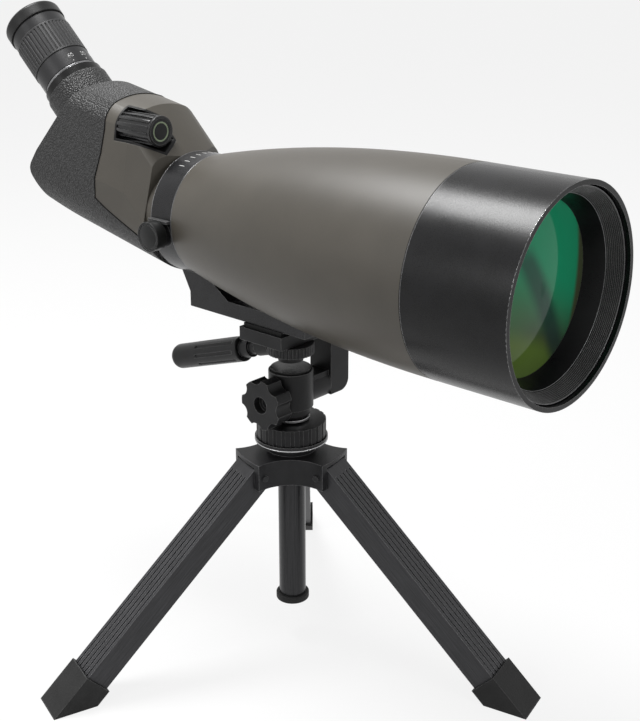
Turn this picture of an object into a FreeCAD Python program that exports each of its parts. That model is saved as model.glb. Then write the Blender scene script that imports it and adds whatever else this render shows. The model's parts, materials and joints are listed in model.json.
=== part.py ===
import FreeCAD, Part
import math
import os

# Spotting scope with an angled zoom eyepiece, on a mini tripod with a pan and tilt head.
# Millimetres. +X points forwards along the optical axis and +Z up.
# The origin is on the floor, on the axis of the tripod's centre column.

V = FreeCAD.Vector
X, Y, Z = V(1, 0, 0), V(0, 1, 0), V(0, 0, 1)

# ---------------------------------------------------------------- fits
RUNNING = 0.05          # radial play of a shaft that turns or slides in its bore
SEAT = 0.02             # radial play of a piece that is fixed in its seat
LOOSE = 0.3             # gap between bodies that pass each other
ROLL_PLAY = 0.12        # radial play of the tube in its mounting collar

# ---------------------------------------------------------------- tripod
hub_bottom_z = 121.0
hub_height = 17.6
hub_end_r = 32.2        # from the column axis to a lobe's end face, at its corners
hub_end_bulge = 1.8
hub_lobe_half_w = 16.1
hub_waist_r = 20.5      # from the column axis to the middle of the hollow between two lobes
hub_plate_t = 2.6       # plate over a leg's knuckle
hub_yaw = 12.0          # heading of the front leg, degrees
hub_boss_r = 16.0
hub_boss_h = 6.4
base_ring_r = 23.5
base_ring_t = 2.9

leg_splay = 44.0        # angle between a leg and the floor, degrees
leg_width = 22.4
leg_depth = 16.2
leg_wall = 2.0
leg_pivot_r = 27.0
leg_knuckle_r = 7.2
leg_pin_r = 2.0
leg_groove_count = 5
leg_groove_w = 1.5
leg_groove_d = 0.9
leg_groove_pitch = 4.1
leg_end_z = 5.0         # height of the leg's sawn end above the floor
foot_wall = 1.7
foot_length = 30.0

column_r = 8.9
column_wall = 1.5
column_bottom_z = 33.0
column_top_z = 160.0
end_cap_r = 11.0
end_cap_t = 5.0
end_cap_plug = 12.0
collet_wall = 3.1
collet_thread_r = 13.5
collet_top_z = 155.5

lock_collar_r = 22.4
lock_collar_h = 10.7
lock_collar_flutes = 24
lock_collar_flute_r = 1.3
lock_collar_lid_t = 3.0

# ---------------------------------------------------------------- pan and tilt head
pan_flange_r = 12.0
pan_flange_t = 1.5
pan_stud_r = 4.0
pan_stud_h = 7.0
head_neck_r = 12.5
head_cup_r = 14.3
head_cup_bottom_z = 168.5
head_cup_top_z = 192.5
head_cap_r = 12.8
head_cap_t = 1.8
tilt_z = 176.0          # height of the tilt axis
tilt_barrel_r = 9.5
tilt_barrel_left_y = -15.5
tilt_split_y = 10.0     # where the fixed barrel ends and the tilting one begins
tilt_bolt_r = 3.0
tilt_bolt_head_r = 4.8
tilt_bolt_head_t = 4.5
tilt_bolt_recess = 3.5  # from the arm's outer face in to the bolt's head

plate_rear_x = -27.0
plate_front_x = 9.0
plate_left_y = -18.0
plate_right_y = 45.5
plate_bottom_z = 211.0
plate_t = 8.5
arm_inner_y = 28.2
arm_half_w = 9.0
arm_bottom_z = 169.0
arm_corner_r = 7.5
lug_front_x = -18.5
lug_half_w = 5.0
pad_t = 2.5

screw_r = 3.1
wheel_r = 15.0
wheel_t = 6.7
wheel_hub_r = 8.0
wheel_hub_t = 5.0
wheel_flutes = 40
wheel_flute_r = 0.7
screw_reach = 6.0       # length of camera screw inside the scope's foot

tilt_knob_r = 16.2
tilt_knob_t = 12.2
tilt_knob_lobes = 7
tilt_knob_notch_r = 5.5
tilt_knob_recess_r = 5.5
tilt_knob_recess_d = 5.0

handle_droop = 18.3     # degrees below level
handle_axis_z = 201.0   # where the handle's axis meets its boss's rear face
handle_boss_r = 6.0
handle_boss_l = 11.4
handle_grip_r = 8.5
handle_grip_l = 68.5
handle_grip_gap = 15.0  # from the lug to the grip
handle_groove_count = 8
handle_groove_r = 1.3
handle_ferrule_r = 6.2
handle_ferrule_l = 8.0
handle_stud_r = 2.5
handle_stud_reach = 8.0

# ---------------------------------------------------------------- mounting collar
foot_drop = 59.2        # from the optical axis down to the underside of the foot
foot_half_w = 15.0
foot_front_x = 26.0
foot_heel_x = -75.0
foot_heel_h = 10.0
collar_width = 18.9
collar_wall = 4.7
collar_boss_r = 8.5
collar_boss_reach = 3.2     # boss beyond the ring's outer face
collar_boss_drop = 6.2  # knob axis below the optical axis
collar_knob_r = 10.5
collar_knob_t = 7.7
collar_screw_r = 2.5

# ---------------------------------------------------------------- main tube
barrel_rear_x = -63.7
barrel_length = 196.3
barrel_rear_r = 39.0
barrel_front_r = 60.5
barrel_bulge = 2.1      # power of the swelling curve
barrel_wall = 2.5
barrel_curve_points = 9
journal_r = 34.0
journal_wall = 4.0
journal_tail = 16.5     # length of the journal inside the prism housing
neck_length = 32.4
neck_wall = 4.6

hood_wall = 2.8
hood_length = 65.1

lens_r = 50.1
lens_clear_r = 47.9
lens_edge_from_barrel = 41.9
crown_edge_t = 3.0
crown_front_bulge = 4.2
crown_rear_bulge = -4.0
spacer_t = 0.5
flint_front_bulge = -4.1
flint_edge_t = 9.0
flint_rear_bulge = 1.0
cell_lip_t = 4.0
cell_tail = 12.0
cell_front_r = 57.0
retainer_t = 1.4
cone_ring_step = 11.8   # from the lens edge to the step in the cone
cone_step_r = 51.8
cone_ring_end = 20.5
cone_mouth_r = 56.6
baffle_r = 24.5
baffle_wall = 1.0
baffle_length = 100.0
baffle_hole_r = 22.5

# ---------------------------------------------------------------- prism housing
# side outline as offsets from the point where the housing's front meets the optical axis
housing_floor_front = (0.0, -38.0)
housing_brow = (0.0, 37.8)
housing_crown_front = (-29.0, 65.6)
housing_crown_rear = (-82.8, 75.1)
housing_tail_top = (-129.6, 16.0)
housing_tail_low = (-119.6, -2.6)
housing_floor_rear = (-69.0, -24.4)
housing_half_w = 36.0
# the roof's cross-section, as (half width, drop below the ridge)
roof_dome = (20.2, 3.6)
roof_corner = (25.9, 8.4)
roof_shoulder = (28.9, 13.6)
roof_side = (36.0, 52.0)
housing_belly_r = 30.0
housing_edge_r = 9.0
housing_wall = 2.5
prow_half_w = 10.0      # width of the flat middle of the front face
prow_sweep = 10.5       # how far the front face sweeps back at the sides
# seam between the coated front shell and the rubber rear shell, as offsets from the same point
seam_line = [(-53.0, 90.0), (-51.5, 50.8), (-53.2, 35.8), (-57.1, 19.8), (-57.8, 5.8),
             (-47.3, 0.2), (-17.6, -13.0), (20.0, -29.7)]

# ---------------------------------------------------------------- focusing
focus_knob_y = -19.5
focus_knob_up = 52.7    # above the optical axis
focus_knob_face = -8.7  # offset of the knob's face from the housing's front
focus_knob_r = 10.0
focus_knob_l = 31.5
focus_knob_ribs = 14
focus_knob_notch_r = 1.0
focus_cap_r = 8.3
focus_cap_t = 0.8
focus_pocket_gap = 1.0
focus_pocket_wall = 1.5
focus_shaft_r = 1.5
focus_shaft_tail = 34.0
focus_cell_front = -29.0    # offset from the housing's front, along the axis
focus_cell_length = 18.0
focus_cell_r = 16.0
focus_lens_r = 13.0
focus_arm_t = 3.0
focus_arm_y = -24.0         # outer side of the arm that passes beside the prism
focus_arm_knee = 30.0       # height at which the arm turns straight up
focus_nut_r = 2.3
focus_nut_l = 4.5
focus_nut_setback = 10.0    # nut behind the lens cell
guide_rod_y = 20.0
guide_rod_r = 1.5

# ---------------------------------------------------------------- prism
prism_half_w = 14.0
prism_points = [(-57.8, -10.7), (-57.8, 17.0), (-68.4, 45.6), (-90.0, 21.6), (-88.0, 4.0),
                (-74.8, -5.7)]
holder_plate_t = 2.5
holder_ear_x = (-82.0, -72.0)
holder_ear_z = (5.0, 17.0)

# ---------------------------------------------------------------- eyepiece
# stations along the eyepiece axis, from where it crosses the optical axis
eyepiece_cross = -41.5      # offset of that crossing from the housing's front
eyepiece_angle = 42.0       # above the optical axis, degrees
socket_start = 70.0
socket_end = 99.1
socket_r = 22.6
eye_barrel_start = 60.0
eye_barrel_r = 17.0
eye_barrel_wall = 2.0
stop_ring_r = 21.4
stop_ring_l = 6.1
number_ring_r = 20.0
number_ring_l = 15.5
grip_ring_r = 20.4
grip_ring_l = 24.4
grip_ring_flutes = 44
grip_ring_flute_r = 0.75
top_band_r = 20.0
top_band_l = 8.4
eyecup_l = 9.2
eyecup_r = 20.8
eyecup_bore_r = 15.2
eye_cell_l = 9.0
eye_cell_wall = 2.5
eye_lens_t = 5.0
field_cell_start = 78.0
field_cell_l = 10.0
erector_cell_start = 116.0
erector_cell_l = 10.0
zoom_cell_wall = 3.0
zoom_lens_t = 4.0
field_stop_start = 102.0
field_stop_t = 2.0
field_stop_hole_r = 9.0

# ---------------------------------------------------------------- worked out from the above
hub_top_z = hub_bottom_z + hub_height
boss_top_z = hub_top_z + hub_boss_h
base_ring_top_z = boss_top_z + base_ring_t
lock_collar_z = base_ring_top_z + LOOSE
lock_collar_top_z = lock_collar_z + lock_collar_h
leg_pivot_z = hub_top_z - hub_plate_t - LOOSE - leg_knuckle_r
head_bottom_z = column_top_z + pan_flange_t + LOOSE
plate_top_z = plate_bottom_z + plate_t
bolt_head_y = plate_right_y - tilt_bolt_recess - tilt_bolt_head_t
foot_bottom_z = plate_top_z + pad_t
axis_z = foot_bottom_z + foot_drop
collar_front_x = barrel_rear_x - LOOSE
collar_rear_x = collar_front_x - collar_width
collar_mid_x = (collar_front_x + collar_rear_x) / 2
collar_bore_r = journal_r + ROLL_PLAY
collar_outer_r = collar_bore_r + collar_wall
collar_boss_y = -(collar_outer_r + collar_boss_reach)
housing_front_x = collar_rear_x - LOOSE
barrel_front_x = barrel_rear_x + barrel_length
hood_bore_r = barrel_front_r - hood_wall
hood_rear_x = barrel_front_x + LOOSE
neck_r = hood_bore_r - RUNNING
neck_bore_r = neck_r - neck_wall
lens_edge_x = barrel_front_x + lens_edge_from_barrel
crown_rear_x = lens_edge_x - crown_edge_t
flint_front_x = crown_rear_x - spacer_t
flint_rear_x = flint_front_x - flint_edge_t


# ================================================================ shape helpers
def cyl(r, length, base, axis=Z):
    "Cylinder that starts at base and runs along axis."
    return Part.makeCylinder(r, length, base, axis)


def tube(r_out, r_in, length, base, axis=Z):
    return cyl(r_out, length, base, axis).cut(cyl(r_in, length, base, axis))


def block(x0, x1, y0, y1, z0, z1):
    return Part.makeBox(x1 - x0, y1 - y0, z1 - z0, V(x0, y0, z0))


def fuse(first, *others):
    "One solid from several that touch."
    whole = first
    for other in others:
        whole = whole.fuse(other)
    return whole.removeSplitter()


def side_prism(points, half_w, y0=None):
    "Extrudes an outline drawn in the XZ plane across Y, to both sides or from y0 on."
    start = -half_w if y0 is None else y0
    corners = [V(x, start, z) for x, z in points]
    face = Part.Face(Part.makePolygon(corners + corners[:1]))
    return face.extrude(V(0, 2 * half_w if y0 is None else half_w, 0))


def turned(edges):
    "Turns a closed half outline, drawn in the XZ plane, about the optical axis."
    face = Part.Face(Part.Wire(Part.__sortEdges__(edges)))
    return Part.makeSolid(face.revolve(V(0, 0, axis_z), X, 360))


def outline_edges(points):
    "Straight edges through (x, radius) points measured from the optical axis, closed."
    corners = [V(x, 0, axis_z + r) for x, r in points]
    pairs = zip(corners, corners[1:] + corners[:1])
    return [Part.LineSegment(a, b).toShape() for a, b in pairs]


def turned_points(points):
    return turned(outline_edges(points))


def on_eyepiece(shape):
    "Moves a shape modelled along +Z, from the crossing of the two axes, onto the eyepiece axis."
    moved = shape.copy()
    moved.rotate(V(0, 0, 0), Y, eyepiece_angle - 90)
    moved.translate(V(housing_front_x + eyepiece_cross, 0, axis_z))
    return moved


def around_z(shape, degrees):
    moved = shape.copy()
    moved.rotate(V(0, 0, 0), Z, degrees)
    return moved


def fluted(body, count, cutter, centre, axis):
    "Cuts the same flute count times around an axis."
    cutters = []
    for i in range(count):
        flute = cutter.copy()
        flute.rotate(centre, axis, 360.0 * i / count)
        cutters.append(flute)
    return body.cut(cutters)


def lens(front_x, front_bulge, rear_x, rear_bulge, radius, rim_w=0.0):
    "Round lens on the optical axis; a bulge is how far a surface stands forwards at the middle."
    clear_r = radius - rim_w

    def surface(edge_x, bulge):
        sphere = (clear_r ** 2 + bulge ** 2) / (2 * abs(bulge))
        half_sag = sphere - math.sqrt(sphere ** 2 - (clear_r / 2) ** 2)
        mid_x = edge_x + bulge - math.copysign(half_sag, bulge)
        rim = V(edge_x, 0, axis_z + clear_r)
        mid = V(mid_x, 0, axis_z + clear_r / 2)
        pole = V(edge_x + bulge, 0, axis_z)
        return Part.Arc(rim, mid, pole).toShape()
    edges = [surface(front_x, front_bulge), surface(rear_x, rear_bulge)]
    corners = [V(front_x, 0, axis_z + clear_r), V(front_x, 0, axis_z + radius),
               V(rear_x, 0, axis_z + radius), V(rear_x, 0, axis_z + clear_r)]
    for start, end in zip(corners, corners[1:]):
        if start.distanceToPoint(end) > 0:
            edges.append(Part.LineSegment(start, end).toShape())
    poles = V(front_x + front_bulge, 0, axis_z), V(rear_x + rear_bulge, 0, axis_z)
    edges.append(Part.LineSegment(poles[0], poles[1]).toShape())
    return turned(edges)


# ================================================================ tripod
def hub_outline_point(radius, side, lobe_angle):
    corner = V(radius, side, 0)
    return FreeCAD.Rotation(Z, lobe_angle).multVec(corner)


def tripod_hub():
    edges = []
    for i in range(3):
        a = 120.0 * i
        left = hub_outline_point(hub_end_r, hub_lobe_half_w, a)
        right = hub_outline_point(hub_end_r, -hub_lobe_half_w, a)
        tip = hub_outline_point(hub_end_r + hub_end_bulge, 0, a)
        waist = hub_outline_point(hub_waist_r, 0, a + 60)
        next_right = hub_outline_point(hub_end_r, -hub_lobe_half_w, a + 120)
        edges.append(Part.Arc(right, tip, left).toShape())
        edges.append(Part.Arc(left, waist, next_right).toShape())
    body = Part.Face(Part.Wire(edges)).extrude(V(0, 0, hub_height))
    body.translate(V(0, 0, hub_bottom_z))
    body = fuse(body, cyl(hub_boss_r, hub_boss_h, V(0, 0, hub_top_z)))
    collet_hole = column_r + RUNNING + collet_wall + SEAT
    body = body.cut(cyl(collet_hole, hub_height + hub_boss_h, V(0, 0, hub_bottom_z)))
    half_slot = leg_width / 2 + LOOSE
    reach = math.hypot(leg_depth / 2, leg_knuckle_r) - leg_knuckle_r / 2
    slot_start = leg_pivot_r - max(leg_depth / 2, leg_knuckle_r) - LOOSE - 0.5
    slot = block(slot_start, hub_end_r + hub_end_bulge + reach, -half_slot, half_slot,
                 hub_bottom_z - 1, hub_top_z - hub_plate_t)
    pin_hole = cyl(leg_pin_r + SEAT, 2 * hub_lobe_half_w, V(leg_pivot_r, -hub_lobe_half_w, leg_pivot_z), Y)
    for i in range(3):
        body = body.cut([around_z(slot, 120 * i), around_z(pin_hole, 120 * i)])
    return around_z(body, hub_yaw)


def leg_pins():
    length = 2 * hub_lobe_half_w - 2 * LOOSE
    pin = cyl(leg_pin_r, length, V(leg_pivot_r, -length / 2, leg_pivot_z), Y)
    return Part.makeCompound([around_z(pin, hub_yaw + 120 * i) for i in range(3)])


def leg_beam(grow=0.0, shell=0.0, start=0.0, floor_z=0.0):
    "Leg outline in the plane of heading 0: a bar that slants down from the pivot, cut level below."
    a = math.radians(leg_splay)
    along = V(math.cos(a), 0, -math.sin(a))
    across = V(math.sin(a), 0, math.cos(a))
    pivot = V(leg_pivot_r, 0, leg_pivot_z)
    half_d = leg_depth / 2 + grow - shell
    half_w = leg_width / 2 + grow - shell
    length = (leg_pivot_z + leg_depth * 2) / math.sin(a)
    top = pivot + along * start + across * half_d
    low = pivot + along * start - across * half_d
    corners = [top, top + along * length, low + along * length, low]
    bar = side_prism([(p.x, p.z) for p in corners], half_w)
    return bar.common(block(0, 4 * hub_end_r + length, -half_w - 1, half_w + 1, floor_z, leg_pivot_z + leg_depth))


def leg_bar():
    knuckle = cyl(leg_knuckle_r, leg_width, V(leg_pivot_r, -leg_width / 2, leg_pivot_z), Y)
    bar = fuse(leg_beam(floor_z=leg_end_z), knuckle)
    bar = bar.cut(leg_beam(shell=leg_wall, start=leg_knuckle_r + 3 * leg_wall))
    a = math.radians(leg_splay)
    along = V(math.cos(a), 0, -math.sin(a))
    across = V(math.sin(a), 0, math.cos(a))
    length = leg_pivot_z / math.sin(a) + leg_depth
    grooves = []
    for i in range(leg_groove_count):
        y = (i - (leg_groove_count - 1) / 2) * leg_groove_pitch
        top = V(leg_pivot_r, 0, leg_pivot_z) + across * (leg_depth / 2 + 1) + along * leg_knuckle_r
        low = top - across * (1 + leg_groove_d)
        corners = [top, top + along * length, low + along * length, low]
        grooves.append(side_prism([(p.x, p.z) for p in corners], leg_groove_w, y - leg_groove_w / 2))
    pin_hole = cyl(leg_pin_r + RUNNING, leg_width, V(leg_pivot_r, -leg_width / 2, leg_pivot_z), Y)
    return bar.cut(grooves + [pin_hole])


def leg_foot():
    start = (leg_pivot_z + leg_depth / 2 * math.cos(math.radians(leg_splay))) \
        / math.sin(math.radians(leg_splay)) - foot_length
    shoe = leg_beam(grow=foot_wall, start=start)
    return shoe.cut(leg_beam(grow=SEAT, floor_z=leg_end_z - SEAT))


def column_collet():
    bore = column_r + RUNNING
    sleeve = cyl(bore + collet_wall, boss_top_z - hub_bottom_z, V(0, 0, hub_bottom_z))
    thread = cyl(collet_thread_r, collet_top_z - boss_top_z, V(0, 0, boss_top_z))
    return fuse(sleeve, thread).cut(cyl(bore, collet_top_z - hub_bottom_z, V(0, 0, hub_bottom_z)))


def hub_base_ring():
    return tube(base_ring_r, collet_thread_r + SEAT, base_ring_t, V(0, 0, boss_top_z))


def column_lock_collar():
    body = cyl(lock_collar_r, lock_collar_h, V(0, 0, lock_collar_z))
    body = body.cut(cyl(collet_thread_r + RUNNING, lock_collar_h - lock_collar_lid_t, V(0, 0, lock_collar_z)))
    body = body.cut(cyl(column_r + LOOSE, lock_collar_h, V(0, 0, lock_collar_z)))
    flute = cyl(lock_collar_flute_r, lock_collar_h, V(lock_collar_r + lock_collar_flute_r / 2, 0, lock_collar_z))
    return fluted(body, lock_collar_flutes, flute, V(0, 0, 0), Z)


def column_tube():
    return tube(column_r, column_r - column_wall, column_top_z - column_bottom_z, V(0, 0, column_bottom_z))


def column_end_cap():
    disc = cyl(end_cap_r, end_cap_t, V(0, 0, column_bottom_z - end_cap_t))
    disc = disc.makeFillet(1.0, [disc.Edges[0], disc.Edges[2]])
    return fuse(disc, cyl(column_r - column_wall - SEAT, end_cap_plug, V(0, 0, column_bottom_z)))


# ================================================================ pan and tilt head
def pan_stud():
    plug = cyl(column_r - column_wall - SEAT, end_cap_plug, V(0, 0, column_top_z - end_cap_plug))
    flange = cyl(pan_flange_r, pan_flange_t, V(0, 0, column_top_z))
    stud = cyl(pan_stud_r, pan_stud_h, V(0, 0, column_top_z + pan_flange_t))
    return fuse(plug, flange, stud)


def tilt_bore(y0, y1, r):
    return cyl(r, y1 - y0, V(0, y0, tilt_z), Y)


def head_body():
    neck = cyl(head_neck_r, head_cup_bottom_z + 2 - head_bottom_z, V(0, 0, head_bottom_z))
    neck = neck.makeFillet(2.5, [neck.Edges[2]])
    cup = cyl(head_cup_r, head_cup_top_z - head_cup_bottom_z, V(0, 0, head_cup_bottom_z))
    barrel = tilt_bore(tilt_barrel_left_y, tilt_split_y, tilt_barrel_r)
    body = fuse(neck, cup, barrel)
    # the tilting half swings in the space beyond the split
    swing_r = math.hypot(tilt_barrel_r, arm_half_w)
    body = body.cut(tilt_bore(tilt_split_y, tilt_split_y + head_cup_r, swing_r))
    stud_hole = cyl(pan_stud_r + RUNNING, pan_stud_h + LOOSE, V(0, 0, head_bottom_z))
    return body.cut([stud_hole, tilt_bore(tilt_barrel_left_y, tilt_split_y, tilt_bolt_r + RUNNING)])


def head_cap():
    cap = cyl(head_cap_r, head_cap_t, V(0, 0, head_cup_top_z))
    # its far edge is trimmed with the cup below it
    swing_r = math.hypot(tilt_barrel_r, arm_half_w)
    return cap.cut(tilt_bore(tilt_split_y, tilt_split_y + head_cup_r, swing_r))


def tilt_bracket():
    plate = block(plate_rear_x, plate_front_x, plate_left_y, plate_right_y, plate_bottom_z, plate_top_z)
    arm = block(-arm_half_w, arm_half_w, arm_inner_y, plate_right_y, arm_bottom_z, plate_bottom_z)
    low_edge = [e for e in arm.Edges if e.BoundBox.YMin > plate_right_y - 0.01
                and e.BoundBox.ZMax < tilt_z and e.BoundBox.XLength > 1]
    arm = arm.makeFillet(arm_corner_r, low_edge)
    barrel = tilt_bore(tilt_split_y + LOOSE, arm_inner_y, tilt_barrel_r)
    saddle = block(-arm_half_w + 2, arm_half_w - 2, tilt_split_y + LOOSE, arm_inner_y,
                   tilt_z, tilt_z + tilt_barrel_r)
    lug = block(plate_rear_x, lug_front_x, -lug_half_w, lug_half_w, handle_axis_z, plate_bottom_z)
    boss = on_handle(cyl(handle_boss_r, handle_boss_l, V(0, 0, -handle_boss_l)))
    body = fuse(plate, arm, barrel, saddle, lug, boss)
    bolt_hole = tilt_bore(tilt_split_y, plate_right_y, tilt_bolt_r + SEAT)
    head_hole = tilt_bore(bolt_head_y, plate_right_y, tilt_bolt_head_r + LOOSE)
    screw_hole = cyl(screw_r + 1, plate_t, V(0, 0, plate_bottom_z))
    hole_l = handle_stud_reach + LOOSE
    stud_hole = on_handle(cyl(handle_stud_r + RUNNING, hole_l + 2 * handle_stud_r, V(0, 0, -hole_l)))
    return body.cut([bolt_hole, head_hole, screw_hole, stud_hole])


def tilt_bolt():
    tip_y = tilt_barrel_left_y - LOOSE - (tilt_knob_t - tilt_knob_recess_d)
    corners = []
    for i in range(6):
        a = math.radians(60 * i)
        corners.append(V(tilt_bolt_head_r * math.cos(a), bolt_head_y, tilt_z + tilt_bolt_head_r * math.sin(a)))
    head = Part.Face(Part.makePolygon(corners + corners[:1])).extrude(V(0, tilt_bolt_head_t, 0))
    return fuse(head, tilt_bore(tip_y, bolt_head_y, tilt_bolt_r))


def tilt_lock_knob():
    back_y = tilt_barrel_left_y - LOOSE
    centre = V(0, back_y, tilt_z)
    body = cyl(tilt_knob_r, tilt_knob_t, centre, -Y)
    notch = cyl(tilt_knob_notch_r, tilt_knob_t, centre + X * (tilt_knob_r + tilt_knob_notch_r * 0.5), -Y)
    body = fluted(body, tilt_knob_lobes, notch, centre, Y)
    face = centre - Y * tilt_knob_t
    recess = cyl(tilt_knob_recess_r, tilt_knob_recess_d, face, Y)
    return body.cut([recess, cyl(tilt_bolt_r + RUNNING, tilt_knob_t, centre, -Y)])


def on_handle(shape):
    "Moves a shape modelled along +Z from the lug's rear face onto the handle's axis."
    moved = shape.copy()
    moved.rotate(V(0, 0, 0), Y, -90 - handle_droop)
    moved.translate(V(plate_rear_x, 0, handle_axis_z))
    return moved


def handle_grip():
    body = cyl(handle_grip_r, handle_grip_l, V(0, 0, handle_grip_gap))
    far_edge = [e for e in body.Edges if e.BoundBox.ZMin > handle_grip_gap + handle_grip_l - 0.01]
    near_edge = [e for e in body.Edges if e.BoundBox.ZMax < handle_grip_gap + 0.01]
    body = body.makeFillet(handle_grip_r * 0.6, far_edge)
    body = body.makeFillet(1.0, near_edge)
    groove_l = handle_grip_l * 0.55
    groove = cyl(handle_groove_r, groove_l, V(handle_grip_r + handle_groove_r / 3, 0, handle_grip_gap + 4))
    body = fluted(body, handle_groove_count, groove, V(0, 0, 0), Z)
    return on_handle(body.cut(cyl(handle_stud_r + SEAT, handle_grip_l / 2, V(0, 0, handle_grip_gap))))


def handle_ferrule():
    start = handle_grip_gap - handle_ferrule_l
    wide = tube(handle_ferrule_r, handle_stud_r + SEAT, handle_ferrule_l, V(0, 0, start))
    collar = tube(handle_ferrule_r * 0.75, handle_stud_r + SEAT, start - 2, V(0, 0, 2))
    return on_handle(fuse(wide, collar))


def handle_stud():
    length = handle_stud_reach + handle_grip_gap + handle_grip_l / 2
    return on_handle(cyl(handle_stud_r, length - 1, V(0, 0, -handle_stud_reach)))


def platform_pad():
    pad = block(plate_rear_x + 2, plate_front_x - 2, plate_left_y + 2, foot_half_w + 2, plate_top_z, foot_bottom_z)
    return pad.cut(cyl(screw_r + 1, pad_t, V(0, 0, plate_top_z)))


def camera_thumbwheel():
    top_z = plate_bottom_z - LOOSE
    wheel = cyl(wheel_r, wheel_t, V(0, 0, top_z - wheel_t))
    flute = cyl(wheel_flute_r, wheel_t, V(wheel_r + wheel_flute_r / 3, 0, top_z - wheel_t))
    wheel = fluted(wheel, wheel_flutes, flute, V(0, 0, 0), Z)
    wheel = fuse(wheel, cyl(wheel_hub_r, wheel_hub_t, V(0, 0, top_z - wheel_t - wheel_hub_t)))
    return wheel.cut(cyl(screw_r + SEAT, wheel_t, V(0, 0, top_z - wheel_t)))


def camera_screw():
    bottom_z = plate_bottom_z - LOOSE - wheel_t
    return cyl(screw_r, foot_bottom_z + screw_reach - bottom_z, V(0, 0, bottom_z))


# ================================================================ mounting collar and foot
def barrel_radius(x):
    "Outer radius of the main tube: it swells fast behind and is almost straight in front."
    back = (barrel_front_x - x) / barrel_length
    return barrel_front_r - (barrel_front_r - barrel_rear_r) * back ** barrel_bulge


def barrel_curve(x0, x1, inset):
    points = []
    for i in range(barrel_curve_points):
        x = x0 + (x1 - x0) * i / (barrel_curve_points - 1)
        points.append(V(x, 0, axis_z + barrel_radius(x) - inset))
    curve = Part.BSplineCurve()
    curve.interpolate(points)
    return curve.toShape()


def mounting_collar():
    ring = cyl(collar_outer_r, collar_width, V(collar_rear_x, 0, axis_z), X)
    boss = cyl(collar_boss_r, -collar_boss_y, V(collar_mid_x, 0, axis_z - collar_boss_drop), -Y)
    heel = [(collar_rear_x, axis_z), (collar_rear_x, axis_z - collar_outer_r + 4.5),
            (foot_heel_x, foot_bottom_z + foot_heel_h), (foot_heel_x, foot_bottom_z),
            (foot_front_x, foot_bottom_z), (foot_front_x, foot_bottom_z + foot_heel_h),
            (collar_front_x + 24, foot_bottom_z + foot_heel_h), (collar_front_x, axis_z - collar_outer_r + 6),
            (collar_front_x, axis_z)]
    foot = side_prism(heel, foot_half_w)
    body = fuse(ring, boss, foot)
    gap = 2 * LOOSE
    room = turned([barrel_curve(barrel_rear_x, barrel_front_x, -gap)]
                  + [Part.LineSegment(V(x0, 0, axis_z + r0), V(x1, 0, axis_z + r1)).toShape()
                     for x0, r0, x1, r1 in [(barrel_rear_x, barrel_rear_r + gap, barrel_rear_x, 0),
                                            (barrel_rear_x, 0, barrel_front_x, 0),
                                            (barrel_front_x, 0, barrel_front_x, barrel_front_r + gap)]])
    bore = cyl(collar_bore_r, collar_width, V(collar_rear_x, 0, axis_z), X)
    face_gap = cyl(barrel_rear_r + gap, LOOSE, V(collar_front_x, 0, axis_z), X)
    screw_room = cyl(collar_screw_r + RUNNING, -collar_boss_y, V(collar_mid_x, 0, axis_z - collar_boss_drop), -Y)
    socket = cyl(screw_r + RUNNING, screw_reach + LOOSE, V(0, 0, foot_bottom_z))
    return body.cut([room, face_gap, bore, screw_room, socket])


def collar_lock_knob():
    back = V(collar_mid_x, collar_boss_y - LOOSE, axis_z - collar_boss_drop)
    body = cyl(collar_knob_r, collar_knob_t, back, -Y)
    face_edge = [e for e in body.Edges if e.BoundBox.YMax < collar_boss_y - LOOSE - collar_knob_t + 0.01]
    body = body.makeFillet(1.2, face_edge)
    return body.cut(cyl(collar_screw_r + SEAT, collar_knob_t / 2, back, -Y))


def collar_lock_screw():
    tip_y = -math.sqrt((journal_r + 2 * RUNNING) ** 2 - collar_boss_drop ** 2) - LOOSE
    start = V(collar_mid_x, collar_boss_y - LOOSE - collar_knob_t / 2 + LOOSE, axis_z - collar_boss_drop)
    return cyl(collar_screw_r, tip_y - start.y, start, Y)


# ================================================================ main tube and objective
def barrel_shell():
    tail_x = housing_front_x - journal_tail
    inner_front_x = barrel_front_x - 2 * barrel_wall
    inner_rear_x = barrel_rear_x + barrel_wall
    journal_in = journal_r - journal_wall
    nose_x = barrel_front_x + neck_length
    outer = barrel_curve(barrel_rear_x, barrel_front_x, 0)
    inner = barrel_curve(inner_rear_x, inner_front_x, barrel_wall)
    corners = [(barrel_front_x, barrel_front_r), (barrel_front_x, neck_r), (nose_x, neck_r),
               (nose_x, neck_bore_r), (inner_front_x, neck_bore_r),
               (inner_front_x, barrel_radius(inner_front_x) - barrel_wall)]
    back_corners = [(inner_rear_x, barrel_radius(inner_rear_x) - barrel_wall), (inner_rear_x, journal_in),
                    (tail_x, journal_in), (tail_x, journal_r), (barrel_rear_x, journal_r),
                    (barrel_rear_x, barrel_rear_r)]
    edges = [outer, inner]
    for run in (corners, back_corners):
        for (x0, r0), (x1, r1) in zip(run, run[1:]):
            edges.append(Part.LineSegment(V(x0, 0, axis_z + r0), V(x1, 0, axis_z + r1)).toShape())
    return turned(edges)


def lens_hood():
    return tube(barrel_front_r, hood_bore_r, hood_length, V(hood_rear_x, 0, axis_z), X)


def objective_cell():
    nose_x = barrel_front_x + neck_length
    bore = lens_r + SEAT
    lip_rear_x = flint_rear_x - cell_lip_t
    end_x = lens_edge_x + retainer_t
    return turned_points([(nose_x - cell_tail, neck_bore_r - SEAT), (nose_x, neck_bore_r - SEAT),
                          (nose_x, cell_front_r), (end_x, cell_front_r), (end_x, bore),
                          (flint_rear_x, bore), (flint_rear_x, lens_clear_r), (lip_rear_x, lens_clear_r),
                          (nose_x - cell_tail, lens_clear_r + 2)])


def crown_lens():
    rim_w = lens_r - lens_clear_r
    return lens(lens_edge_x, crown_front_bulge, crown_rear_x, crown_rear_bulge, lens_r, rim_w)


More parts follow.
